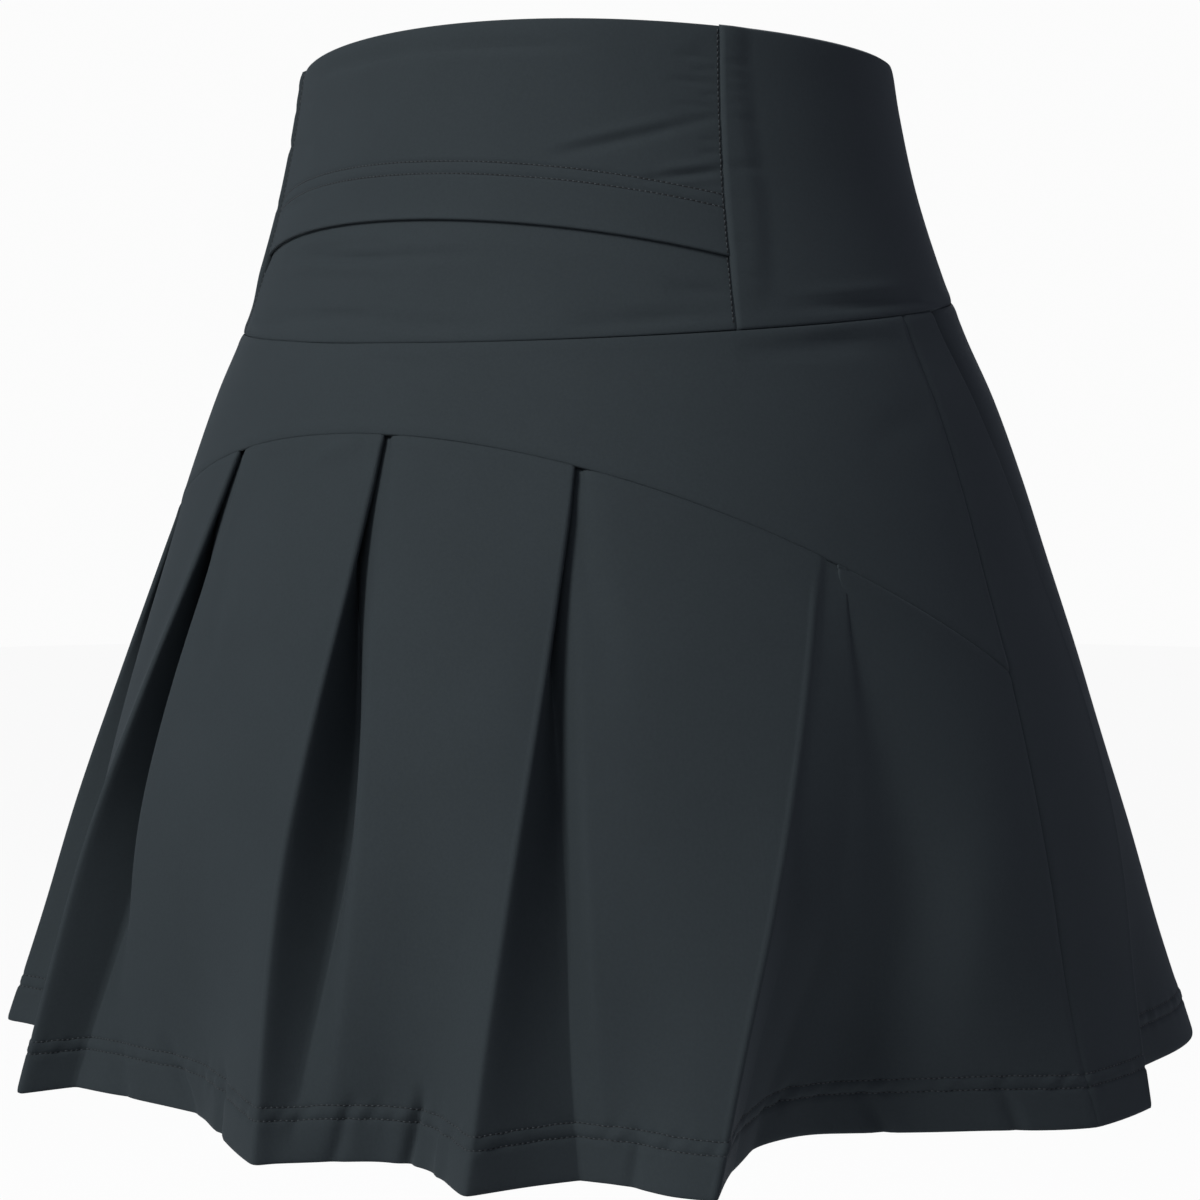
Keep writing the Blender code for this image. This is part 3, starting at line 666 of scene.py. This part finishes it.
def regrid(grid, angles, crest):
    """The grid read again at rows that stand at fixed distances from its two edges.

    The angles and the crest distances go with it. The last two results are each point's
    way down from the seam and up from the hem.
    """
    measured = arc_lengths(grid, 0)
    places = row_places(measured[-1])
    layers = np.concatenate([grid, angles[..., None], crest[..., None]], axis=2)
    result = np.empty((*places.shape, layers.shape[2]))
    for c in range(grid.shape[1]):
        for k in range(layers.shape[2]):
            result[:, c, k] = np.interp(places[:, c], measured[:, c], layers[:, c, k])
    return result[..., :3], result[..., 3], result[..., 4], places, measured[-1] - places


# ---- low relief, each with its heights and the distances over which it fades ----
def seam_dip(distance, roll=0.00045, reach=0.0008, swell=0.00015, swell_at=0.0032, width=0.0018):
    """The cloth rolls in where it meets the sewn seam, and swells a little beside it."""
    return -roll * np.exp(-distance / reach) + swell * bump(distance, swell_at, width)


def upright_dip(distance, roll=0.00018, reach=0.0008):
    """The shallower dip at a band's upright seam, which is sewn flat."""
    return -roll * np.exp(-distance / reach)


def top_roll(distance, roll=0.0006, reach=0.0022):
    """The folded top edge turns in."""
    return -roll * np.exp(-distance / reach)


def seam_strip(distance, height, rise=0.0015, width=0.0085, inside=0.004, outside=0.006):
    """The band beside an upright seam stands proud over the seam's allowance."""
    width = width + STRIP_BELLY * bump(height, STRIP_BELLY_HEIGHT, STRIP_BELLY_REACH)
    beyond = smoothstep(width - inside, width + outside, distance)
    return rise * (1.0 - beyond) * smoothstep(*STRIP_FOOT, height)


def side_dips(grid):
    """The dips at a skirt panel's two side seams."""
    along = arc_lengths(grid, 1)
    return seam_dip(along) + seam_dip(along[:, -1:] - along)


def puckers(grid, rise, height=0.00026, width=0.0045):
    """Small uneven gathers that the hem's two needle rows pull into the cloth."""
    along = arc_lengths(grid, 1)
    waves = sum(share * np.sin(along * 2 * math.pi / wavelength + shift)
                for wavelength, share, shift in PUCKER_WAVES)
    return height * waves * bump(rise, sum(NEEDLE_ROWS) / 2, width)


def pressed_edge(crest, down, height=0.0004, width=0.0011, start=(0.004, 0.02)):
    """The thin raised edge of a pressed crest, from a little below the seam."""
    return height * bump(crest, 0.0, width) * smoothstep(*start, down)


def hem_relief(rise, layer=0.00035, trough=0.0006, width=0.0008, roll=0.0004, reach=0.0007):
    """The doubled hem, held down along the needle rows and rolled in at its edge."""
    relief = layer * (1.0 - smoothstep(*[NEEDLE_ROWS[1] + edge for edge in HEM_STEP], rise))
    for row in NEEDLE_ROWS:
        relief = relief - trough * bump(rise, row, width)
    return relief - roll * np.exp(-rise / reach)


def creases(table, angle, height):
    """Soft troughs and ridges, each along a short line on the cloth."""
    relief = np.zeros(angle.shape)
    for angle_1, height_1, angle_2, height_2, width, depth in table:
        degree = float(lookup(FORM, -0.5 * (height_1 + height_2))[0]) * math.pi / 180.0
        x, y = (angle - angle_1) * degree, height - height_1
        dx, dy = (angle_2 - angle_1) * degree, height_2 - height_1
        length = math.hypot(dx, dy)
        across = (x * dy - y * dx) / length
        u = (x * dx + y * dy) / length / length
        fade = np.clip(4.0 * u * (1.0 - u), 0.0, 1.0)
        relief += depth * fade * np.exp(-(across / width) ** 2)
    return relief


# ---- stitches ----
BEAD_SIDES = 5
# Stations of a stitch and of a needle's pit: share of its length, then size and height in radii.
STITCH_STATIONS = ((0.0, 0.35, -0.5), (0.16, 1.0, 0.35), (0.84, 1.0, 0.35), (1.0, 0.35, -0.5))
PIT_STATIONS = ((-0.2, 0.4, -0.4), (0.5, 1.0, -0.62), (1.2, 0.4, -0.4))


def line_on_grid(grid, places, at):
    """The polyline across a grid that runs, in each column, at that place in its rows."""
    columns = range(grid.shape[1])
    return np.array([[np.interp(at[c], places[:, c], grid[:, c, k]) for k in range(3)]
                     for c in columns])


def beads(name, lines, material, length, shift, radius, stations):
    """Short rounded beads along lines of (points, normals), as one mesh: stitches of thread, or the
    needle's holes.

    Each starts a shift after its place in the row.
    """
    sides, last = BEAD_SIDES, BEAD_SIDES * (len(stations) - 1)
    turn = np.arange(sides) * 2 * math.pi / sides
    circle = np.cos(turn)[None, :, None], np.sin(turn)[None, :, None]
    faces = [(s + k, s + (k + 1) % sides, s + sides + (k + 1) % sides, s + sides + k)
             for s in range(0, last, sides) for k in range(sides)]
    ends = [tuple(range(sides))[::-1], tuple(range(last, last + sides))]
    all_points, all_faces, count = [], [], 0
    for points, outward in lines:
        lengths = arc_lengths(points, 0)
        starts = shift + np.arange(STITCH_GAP, lengths[-1] - 2 * STITCH, STITCH + STITCH_GAP)

        def at(values, places):
            return np.stack([np.interp(places, lengths, values[:, k]) for k in range(3)], -1)
        first, final = at(points, starts), at(points, starts + length)
        up = unit(at(outward, starts + length / 2))
        aside = np.cross(unit(final - first), up)
        rings = []
        for share, size, height in stations:
            centre = first + (final - first) * share + up * radius * height
            ring = circle[0] * aside[:, None] + circle[1] * up[:, None]
            rings.append(centre[:, None] + radius * size * ring)
        block = np.stack(rings, 1).reshape(-1, 3)
        offsets = range(count, count + len(block), last + sides)
        for group in (faces, ends):
            all_faces += [[o + k for k in face] for o in offsets for face in group]
        all_points.append(block)
        count += len(block)
    return make_object(name, np.concatenate(all_points), all_faces, material)


def sew(name, lines, thread_and_pit_shade, slot):
    """Rows of stitches and, between them, the needle's holes as small sunk beads whose near-black
    colour is painted shade.
    """
    thread, pit_shade = thread_and_pit_shade
    rows = beads(name, lines, thread, STITCH, 0.0, THREAD, STITCH_STATIONS)
    # the needle's holes: dark beads whose colour is painted shade
    shade_pits = beads(name + "_pits_painted_shade", lines, pit_shade, STITCH_GAP, STITCH, NEEDLE_HOLE, PIT_STATIONS)
    for piece in (rows, shade_pits):
        settle(piece, slot)
    return [rows, shade_pits]


def hem_stitches(name, grid, outward, down, rise, thickness, thread_and_pit_shade, slot):
    """The two needle rows round a hem, on the outer face of its wall."""
    lines = []
    for row in NEEDLE_ROWS:
        at = (down + rise)[0] - row
        facing = line_on_grid(outward, down, at)
        lines.append((line_on_grid(grid, down, at) + unit(facing) * thickness / 2, facing))
    return sew(name, lines, thread_and_pit_shade, slot)


def upright_lines(face, outward):
    """Lines for stitches a little inside a band's two end seams."""
    lines = []
    for side in (1, -1):
        distance = arc_lengths(face, 1)
        if side < 0:
            distance = distance[:, -1:] - distance
        order = slice(None, None, side)
        lines.append([np.array([[np.interp(UPRIGHT_INSET, away[order], row[order, k])
                                 for k in range(3)] for away, row in zip(distance, values)])
                      for values in (face, outward)])
    return lines


# ---- materials ----
KNIT_COLOUR = (0.0300, 0.0385, 0.0430)
SHORTS_COLOUR = (0.0260, 0.0340, 0.0380)
THREAD_COLOUR = (0.0290, 0.0370, 0.0420)
# The pit colour is painted shade: the near-black of the needle's holes stands in for the shade inside
# them, not a colour of the cloth or thread.
PIT_SHADE_COLOUR = (0.0040, 0.0052, 0.0066)
HEATHER = ((0.30, 0.93), (0.72, 1.07))  # places on the colour ramp, and brightness there
WALE, COURSE = 0.00045, 0.00045 * 0.8  # the knit's spacing along a row and across it
BAND_PERIOD = 0.314  # a wave texture's spacing at scale 1


def add(tree, kind, sockets=(), **attributes):
    """A new shader node with its sockets' values and its attributes."""
    node = tree.nodes.new("ShaderNode" + kind)
    for name, value in attributes.items():
        setattr(node, name, value)
    for socket, value in dict(sockets).items():
        node.inputs[socket].default_value = value
    return node


def join(tree, *links):
    """Links, each as node, output, node and input."""
    for source, output, target, socket in links:
        tree.links.new(source.outputs[output], target.inputs[socket])


def knit(name, colour):
    """Matte fine knit: wales and courses as bump, faint heather, a soft nap at grazing angles."""
    material = bpy.data.materials.new(name)
    material.use_nodes = True
    tree = material.node_tree
    shader = tree.nodes["Principled BSDF"]
    shader.inputs["Roughness"].default_value = 0.85
    shader.inputs["Metallic"].default_value = 0.0
    shader.inputs["IOR"].default_value = 1.45
    shader.inputs["Specular IOR Level"].default_value = 0.18
    shader.inputs["Sheen Weight"].default_value = 0.06
    shader.inputs["Sheen Roughness"].default_value = 0.45
    shader.inputs["Sheen Tint"].default_value = (0.55, 0.68, 0.76, 1.0)

    # colour: fine heather with a little of a broad, cloudy one
    position = add(tree, "TexCoord")
    cloth = add(tree, "UVMap", uv_map="cloth")
    heather = add(tree, "TexNoise", {"Scale": 900.0, "Detail": 2.0})
    cloudy = add(tree, "TexNoise", {"Scale": 26.0, "Detail": 3.0})
    mixed = add(tree, "Math", {1: 0.6}, operation="MULTIPLY_ADD")
    cloudy_share = add(tree, "Math", {1: 0.4}, operation="MULTIPLY")
    ramp = add(tree, "ValToRGB")
    for element, (place_on_ramp, brightness) in zip(ramp.color_ramp.elements, HEATHER):
        element.position = place_on_ramp
        element.color = (*[c * brightness for c in colour], 1.0)
    join(tree, (position, "Object", heather, "Vector"), (position, "Object", cloudy, "Vector"),
         (heather, "Fac", mixed, 0), (cloudy, "Fac", cloudy_share, 0), (cloudy_share, 0, mixed, 2),
         (mixed, 0, ramp, "Fac"), (ramp, "Color", shader, "Base Color"))

    # relief: wales times courses, with the heather as fuzz
    wales, courses = [add(tree, "TexWave", {"Scale": BAND_PERIOD / spacing, "Distortion": 0.6},
                          bands_direction=direction)
                      for spacing, direction in ((WALE, "X"), (COURSE, "Y"))]
    loops = add(tree, "Math", operation="MULTIPLY")
    fuzz = add(tree, "Math", operation="ADD")
    relief = add(tree, "Bump", {"Strength": 0.35, "Distance": 0.00012})
    join(tree, (cloth, "UV", wales, "Vector"), (cloth, "UV", courses, "Vector"),
         (wales, "Fac", loops, 0), (courses, "Fac", loops, 1), (loops, 0, fuzz, 0),
         (heather, "Fac", fuzz, 1), (fuzz, 0, relief, "Height"), (relief, "Normal", shader, "Normal"))
    return material


def plain(name, colour, roughness):
    material = bpy.data.materials.new(name)
    material.use_nodes = True
    shader = material.node_tree.nodes["Principled BSDF"]
    shader.inputs["Base Color"].default_value = (*colour, 1.0)
    shader.inputs["Roughness"].default_value = roughness
    return material


# ---- stage: camera, floor, world and lights ----
CAMERA_TURN, CAMERA_DISTANCE, CAMERA_HEIGHT, CAMERA_PITCH = 36.0, 1.236, -0.072, 6.59
FOCAL, SENSOR = 90.87, 36.0
FLOOR_HEIGHT, FLOOR_RADIUS, FLOOR_SIDES = -1.0, 6.0, 96
FLOOR_LOOK, FLOOR_SHARE = 1.0, 0.94  # how bright the floor looks, and how much of that is even
WORLD, WORLD_COLOUR = 0.13, (0.88, 0.87, 1.07, 1.0)
BACKDROP = 0.97  # how bright the plain backdrop looks
LIGHTS = [
    # name, side, distance, height, size, power, colour. The side is degrees from the
    # camera's bearing, + toward the picture's left.
    ("Key", 54.0, 2.2, 1.7, 1.0, 67.0, (1.0, 1.01, 1.0)),
    ("Fill", 10.0, 2.4, 1.2, 1.2, 5.0, (0.95, 0.94, 1.06)),
    ("Front", 180.0, 2.2, 1.5, 1.0, 40.0, (1.0, 1.0, 1.0)),
    ("Rim", -100.0, 2.0, 0.35, 0.8, 4.0, (0.92, 0.90, 1.08)),
]
LIGHT_AIM = Vector((0.0, 0.0, -0.2))


def bearing_point(bearing, distance, height):
    """A point at that bearing, in degrees from +Y (the garment's back) toward -X."""
    turn = math.radians(bearing)
    return Vector((-math.sin(turn) * distance, math.cos(turn) * distance, height))


def place_and_aim(name, data, point, aim):
    thing = bpy.data.objects.new(name, data)
    thing.location = point
    thing.rotation_euler = aim.to_track_quat("-Z", "Y").to_euler()
    bpy.context.scene.collection.objects.link(thing)
    return thing


def make_camera():
    turn, pitch = math.radians(CAMERA_TURN), math.radians(CAMERA_PITCH)
    lens = bpy.data.cameras.new("Camera")
    lens.lens, lens.sensor_width = FOCAL, SENSOR
    aim = Vector((math.sin(turn) * math.cos(pitch), -math.cos(turn) * math.cos(pitch),
                  -math.sin(pitch)))
    point = bearing_point(CAMERA_TURN, CAMERA_DISTANCE, CAMERA_HEIGHT)
    bpy.context.scene.camera = place_and_aim("Camera", lens, point, aim)


def pale_floor():
    """A plain matte floor that looks as pale as the backdrop."""
    material = plain("floor_white", (0.80, 0.80, 0.80), 0.9)
    tree = material.node_tree
    glow = add(tree, "Emission", {"Strength": FLOOR_LOOK})
    seen = add(tree, "LightPath")
    share = add(tree, "Math", {1: FLOOR_SHARE}, operation="MULTIPLY")
    either = add(tree, "MixShader")
    join(tree, (seen, "Is Camera Ray", share, 0), (share, 0, either, "Fac"),
         (tree.nodes["Principled BSDF"], "BSDF", either, 1), (glow, "Emission", either, 2),
         (either, "Shader", tree.nodes["Material Output"], "Surface"))
    return material


def make_floor():
    steps = np.radians(np.arange(FLOOR_SIDES) * 360.0 / FLOOR_SIDES)
    disc = np.stack([np.cos(steps), np.sin(steps), 0 * steps], -1) * FLOOR_RADIUS
    mesh = bpy.data.meshes.new("Floor")
    mesh.from_pydata((disc + [0, 0, FLOOR_HEIGHT]).tolist(), [], [list(range(FLOOR_SIDES))])
    mesh.materials.append(pale_floor())
    floor = bpy.data.objects.new("Floor", mesh)
    bpy.context.scene.collection.objects.link(floor)


def make_world():
    """A dim, cool surrounding light that the camera sees as a plain pale backdrop."""
    world = bpy.data.worlds.new("Studio")
    world.use_nodes = True
    tree = world.node_tree
    background = tree.nodes["Background"]
    background.inputs["Color"].default_value = WORLD_COLOUR
    background.inputs["Strength"].default_value = WORLD
    pale = add(tree, "Background", {"Color": (1.0, 1.0, 1.0, 1.0), "Strength": BACKDROP})
    seen = add(tree, "LightPath")
    either = add(tree, "MixShader")
    join(tree, (seen, "Is Camera Ray", either, "Fac"), (background, "Background", either, 1),
         (pale, "Background", either, 2), (either, "Shader", tree.nodes["World Output"], "Surface"))
    bpy.context.scene.world = world


def make_light(name, side, distance, height, size, power, colour):
    lamp = bpy.data.lights.new(name, "AREA")
    lamp.shape = "DISK"
    lamp.size, lamp.energy, lamp.color = size, power, colour
    point = bearing_point(CAMERA_TURN - side, distance, height)
    place_and_aim(name, lamp, point, LIGHT_AIM - point)


# ---- the pieces ----
def settle(piece, slot, *nodes):
    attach(piece, "root")
    if nodes:
        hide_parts(*nodes)


def skirt_panel(name, node, pleated, table, material, thread_and_pit_shade):
    """One pleated panel of the skirt and its hem's stitches."""
    grid, angles, crest, down, rise = regrid(*pleated)
    relief = seam_dip(down) + hem_relief(rise) + pressed_edge(crest, down)
    relief += creases(table, angles, grid[..., 2]) * smoothstep(*CREASE_CLEAR, crest)
    relief += side_dips(grid) + puckers(grid, rise)
    grid = grid + normals(grid) * relief[..., None]
    piece = shell(name, grid, CLOTH, material)
    settle(piece, "skirt_knit", node)
    rows = hem_stitches(name + "_stitches", grid, normals(grid), down, rise, CLOTH, thread_and_pit_shade,
                        "skirt_knit")
    return piece, rows


def make_skirt_back(material, thread_and_pit_shade):
    pleated = pleated_grid(back_spans, 0.0, lambda angle: yoke_height(angle) - SEAM_GAP / 2,
                           crisp_kind="crest_side")
    piece, rows = skirt_panel("Skirt_back", "skirt_back", pleated, BACK_CREASES, material, thread_and_pit_shade)
    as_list(rows)


def make_skirt_front(material, thread_and_pit_shade):
    pleated = pleated_grid(front_spans, 180.0, lambda angle: band_bottom(angle) - SEAM_GAP / 2,
                           extra_columns=2)
    piece, rows = skirt_panel("Skirt_front", "skirt_front", pleated, FRONT_CREASES, material, thread_and_pit_shade)
    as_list(rows)


def edge_rows(length, count):
    """Fractions of the length that crowd at both edges."""
    distances = np.array(SEAM_ROWS) / length
    middle = np.linspace(distances[-1], 1.0 - distances[-1], count)[1:-1]
    return np.concatenate([distances, middle, 1.0 - distances[::-1]])


def make_band(name, node, material, ends, columns, rows, top, bottom, length, thickness, relief,
              follow, recess=None, stitch_rows=None):
    """One band between two slanting seams, its rows from its top to its bottom edge.

    Its outer face lies on the form unless a recess is given. The stitch rows are made on
    that face.
    """
    u = np.linspace(0.0, 1.0, columns + 1)[None, :]
    facing = blend(ends[0](0.0), ends[1](0.0), u)
    height = blend(top(facing), bottom(facing), edge_rows(length, rows)[:, None])
    trim = gap_angle(height)
    angle = blend(ends[0](height) + trim, ends[1](height) - trim, u)
    grid = form_point(angle, height, recess(facing, height) if recess else thickness / 2)
    lift = relief(angle, height)
    piece = shell(name, grid, thickness, material, lift, follow)
    settle(piece, "skirt_knit" if node == "yoke_back" else "band_knit", node)
    outward = normals(grid)
    face = grid + outward * (thickness / 2 + lift[..., None])
    sewn = stitch_rows(face, outward, angle, height) if stitch_rows else []


def above_seam(angle):
    return band_bottom(angle) + SEAM_GAP / 2


def left_seam(height):
    return -band_seam(height)


def left_seam_from_front(height):
    return 360.0 - band_seam(height)


def upright_dips(angle, height):
    """The dips at a back band's two upright seams."""
    return (upright_dip((angle + band_seam(height)) * BAND_DEGREE)
            + upright_dip((band_seam(height) - angle) * BAND_DEGREE))


def make_front_band(material):
    def relief(angle, height):
        facing = from_back(angle)
        right = (angle - band_seam(height)) * BAND_DEGREE
        left = (left_seam_from_front(height) - angle) * BAND_DEGREE
        return (seam_dip(height - band_bottom(facing)) + upright_dip(right) + upright_dip(left)
                + seam_strip(right, height) + seam_strip(left, height)
                + top_roll(top_height(facing) - height)
                + creases(FRONT_BAND_CREASES, angle, height))

    make_band("Waistband_front", "waistband_front", material, columns=300, rows=56,
              ends=(band_seam, left_seam_from_front), top=top_height, bottom=above_seam, length=0.1,
              thickness=BAND_CLOTH, relief=relief, follow=0.0)


def make_back_band(material, thread_and_pit_shade):
    def relief(angle, height):
        clear = smoothstep(*POCKET_CLEAR, pocket_height(angle) - height)
        return (seam_dip(height - band_bottom(angle)) + upright_dips(angle, height)
                + creases(LOWER_BACK_CREASES, angle, height) * clear
                + top_roll(top_height(angle) - height))

    def recess(angle, height):
        below = smoothstep(0.0, POCKET_STEP, pocket_height(angle) - height)
        return blend(CLOTH + SEAM_GAP, SEAM_GAP, below) + BACK_BAND_CLOTH / 2

    def stitches(face, outward, angle, height):
        below = int(np.argmax(height[:, -1] < pocket_height(BAND_SEAM) - 0.001))
        lines = upright_lines(face[below:], outward[below:])
        return sew("Waistband_back_stitches", lines, thread_and_pit_shade, "band_knit")

    make_band("Waistband_back", "waistband_back", material, columns=200, rows=60,
              ends=(left_seam, band_seam), top=top_height, bottom=above_seam, length=0.1,
              recess=recess, thickness=BACK_BAND_CLOTH, relief=relief, follow=1.0,
              stitch_rows=stitches)


def pocket_relief(above, trough=0.0004, width=0.0007, lip=0.0003, lip_width=0.0025):
    """The pocket's edge stands out a little, held down along its needle rows."""
    troughs = sum(bump(above, row, width) for row in POCKET_ROWS)
    return lip * bump(above, 0.0, lip_width) - trough * troughs


def make_pocket(material, thread_and_pit_shade):
    def relief(angle, height):
        above = height - pocket_height(angle)
        return (upright_dips(angle, height) + top_roll(top_height(angle) - height)
                + creases(POCKET_CREASES, angle, height) + pocket_relief(above))

    def stitches(face, outward, angle, height):
        lines = []
        for rise in POCKET_ROWS:
            at = -(pocket_height(angle.mean(axis=0)) + rise)
            lines.append((line_on_grid(face, -height, at), line_on_grid(outward, -height, at)))
        return sew("Pocket_stitches", lines + upright_lines(face, outward), thread_and_pit_shade, "band_knit")

    make_band("Waistband_pocket", "waistband_pocket", material, columns=300, rows=86,
              ends=(left_seam, band_seam), top=top_height, bottom=pocket_height, length=0.07,
              thickness=CLOTH, relief=relief, follow=0.3,
              stitch_rows=stitches)


def make_yoke(material):
    def relief(angle, height):
        return (seam_dip(band_bottom(angle) - height) + seam_dip(height - yoke_height(angle))
                + seam_dip((angle + SIDE_SEAM) * SIDE_DEGREE)
                + seam_dip((SIDE_SEAM - angle) * SIDE_DEGREE)
                + creases(YOKE_CREASES, angle, height))

    make_band("Yoke_back", "yoke_back", material, columns=300, rows=52,
              ends=(lambda height: -SIDE_SEAM + 0 * height, lambda height: SIDE_SEAM + 0 * height),
              top=lambda angle: band_bottom(angle) - SEAM_GAP / 2,
              bottom=lambda angle: yoke_height(angle) + SEAM_GAP / 2, length=0.06, thickness=CLOTH,
              relief=relief, follow=1.0)


def hip_ring(row, side, turns):
    """A half ring round the hips, from the centre front by the side to the centre back."""
    height = blend(band_bottom(side * turns), -RISE_START, row)
    half_width, half_depth = lookup(SHORTS_HIP, -height)
    near_band = form_point(turns, height, SHORTS_TUCK + SHORTS_CLOTH / 2)
    snug = smoothstep(0.0, SHORTS_SNUG, row)
    turn = np.radians(turns)
    x = blend(-near_band[:, 0], half_width * np.sin(turn), snug)
    y = blend(near_band[:, 1], half_depth * np.cos(turn), snug)
    return np.stack([np.maximum(x, SEAM_GAP / 2), y, height], -1)


def lap_ring(rise, side, turns):
    """A half ring of the lap inside the waistband, that far above its lower edge."""
    ring = form_point(turns, band_bottom(side * turns) + rise,
                      BAND_CLOTH + SEAM_GAP + SHORTS_CLOTH / 2)
    return np.stack([np.maximum(-ring[:, 0], SEAM_GAP / 2), ring[:, 1], ring[:, 2]], -1)


def leg_ring(depth, turns):
    """A ring round one leg, from the inseam by the front to the inseam."""
    inseam, outer_side, half_depth = [float(value) for value in lookup(SHORTS_LEG, depth)]
    centre, half_width = (inseam + outer_side) / 2, (outer_side - inseam) / 2
    trim = INSEAM_GAP / 2 / half_depth
    turn = blend(trim, 2 * math.pi - trim, 1.0 - turns / 180.0)
    return np.stack([centre - half_width * np.cos(turn), LEG_BACKWARD - half_depth * np.sin(turn),
                     np.full(len(turns), -depth)], -1)


def rise_ring(row, side, turns):
    """A ring between the hips and the leg, with its edges drawn in to the crotch seam."""
    hips, leg = hip_ring(1.0, side, turns), leg_ring(RISE_END, turns)
    drawn = float(smoothstep(0.0, 1.0, row))
    ring = blend(hips, leg, drawn)
    ring[:, 0] = np.maximum(ring[:, 0], (SEAM_GAP + SHORTS_CLOTH) / 2)
    from_edge = np.minimum(np.arange(len(turns)), np.arange(len(turns))[::-1])
    ring[:, 0] = blend(ring[:, 0], SEAM_EDGE, np.exp(-(from_edge / SEAM_COLUMNS) ** 2))
    ring[:, 2] = -blend(RISE_START, RISE_END, math.sin(row * math.pi / 2))
    return ring


def make_shorts(material, thread_and_pit_shade):
    """The plain inner shorts, two halves sewn at the centre and the crotch."""
    turns = np.linspace(180.0, 0.0, SHORTS_COLUMNS)
    laps, hips = np.linspace(SHORTS_LAP, SHORTS_LAP_FOOT, LAP_ROWS), np.linspace(0.0, 1.0, HIP_ROWS)
    rises = np.linspace(0.0, 1.0, RISE_ROWS + 1)[1:]
    legs = np.linspace(RISE_END, SHORTS_LEG[-1][0], LEG_ROWS + 1)[1:]
    for word, side in (("right", 1), ("left", -1)):
        rings = [lap_ring(rise, side, turns) for rise in laps]
        rings += [hip_ring(row, side, turns) for row in hips]
        rings += [rise_ring(row, side, turns) for row in rises]
        rings += [leg_ring(depth, turns) for depth in legs]
        grid = (np.array(rings) * np.array([-side, 1.0, 1.0]))[:, ::-side]
        down = arc_lengths(grid, 0)
        rise = down[-1] - down
        outward = normals(grid)
        grid = grid + outward * hem_relief(rise)[..., None]
        piece = shell("Shorts_" + word, grid, SHORTS_CLOTH, material)
        settle(piece, "shorts_knit", "shorts_" + word)
        rows = hem_stitches("Shorts_%s_stitches" % word, grid, outward, down, rise, SHORTS_CLOTH,
                            thread_and_pit_shade, "shorts_knit")


def main():
    bpy.context.scene.view_settings.view_transform = "Standard"
    make_camera()
    make_floor()
    make_world()
    for light in LIGHTS:
        make_light(*light)
    band = knit("band_knit_cloth", KNIT_COLOUR)
    skirt = knit("skirt_knit_cloth", KNIT_COLOUR)
    # The needle pits' material is painted shade, near-black for the shade inside the holes.
    thread_and_pit_shade = (plain("sewing_thread", THREAD_COLOUR, 0.6), plain("needle_pit_painted_shade", PIT_SHADE_COLOUR, 0.9))
    make_skirt_back(skirt, thread_and_pit_shade)
    make_skirt_front(skirt, thread_and_pit_shade)
    make_front_band(band)
    make_back_band(band, thread_and_pit_shade)
    make_pocket(band, thread_and_pit_shade)
    make_yoke(skirt)
    make_shorts(knit("shorts_knit_cloth", SHORTS_COLOUR), thread_and_pit_shade)


main()
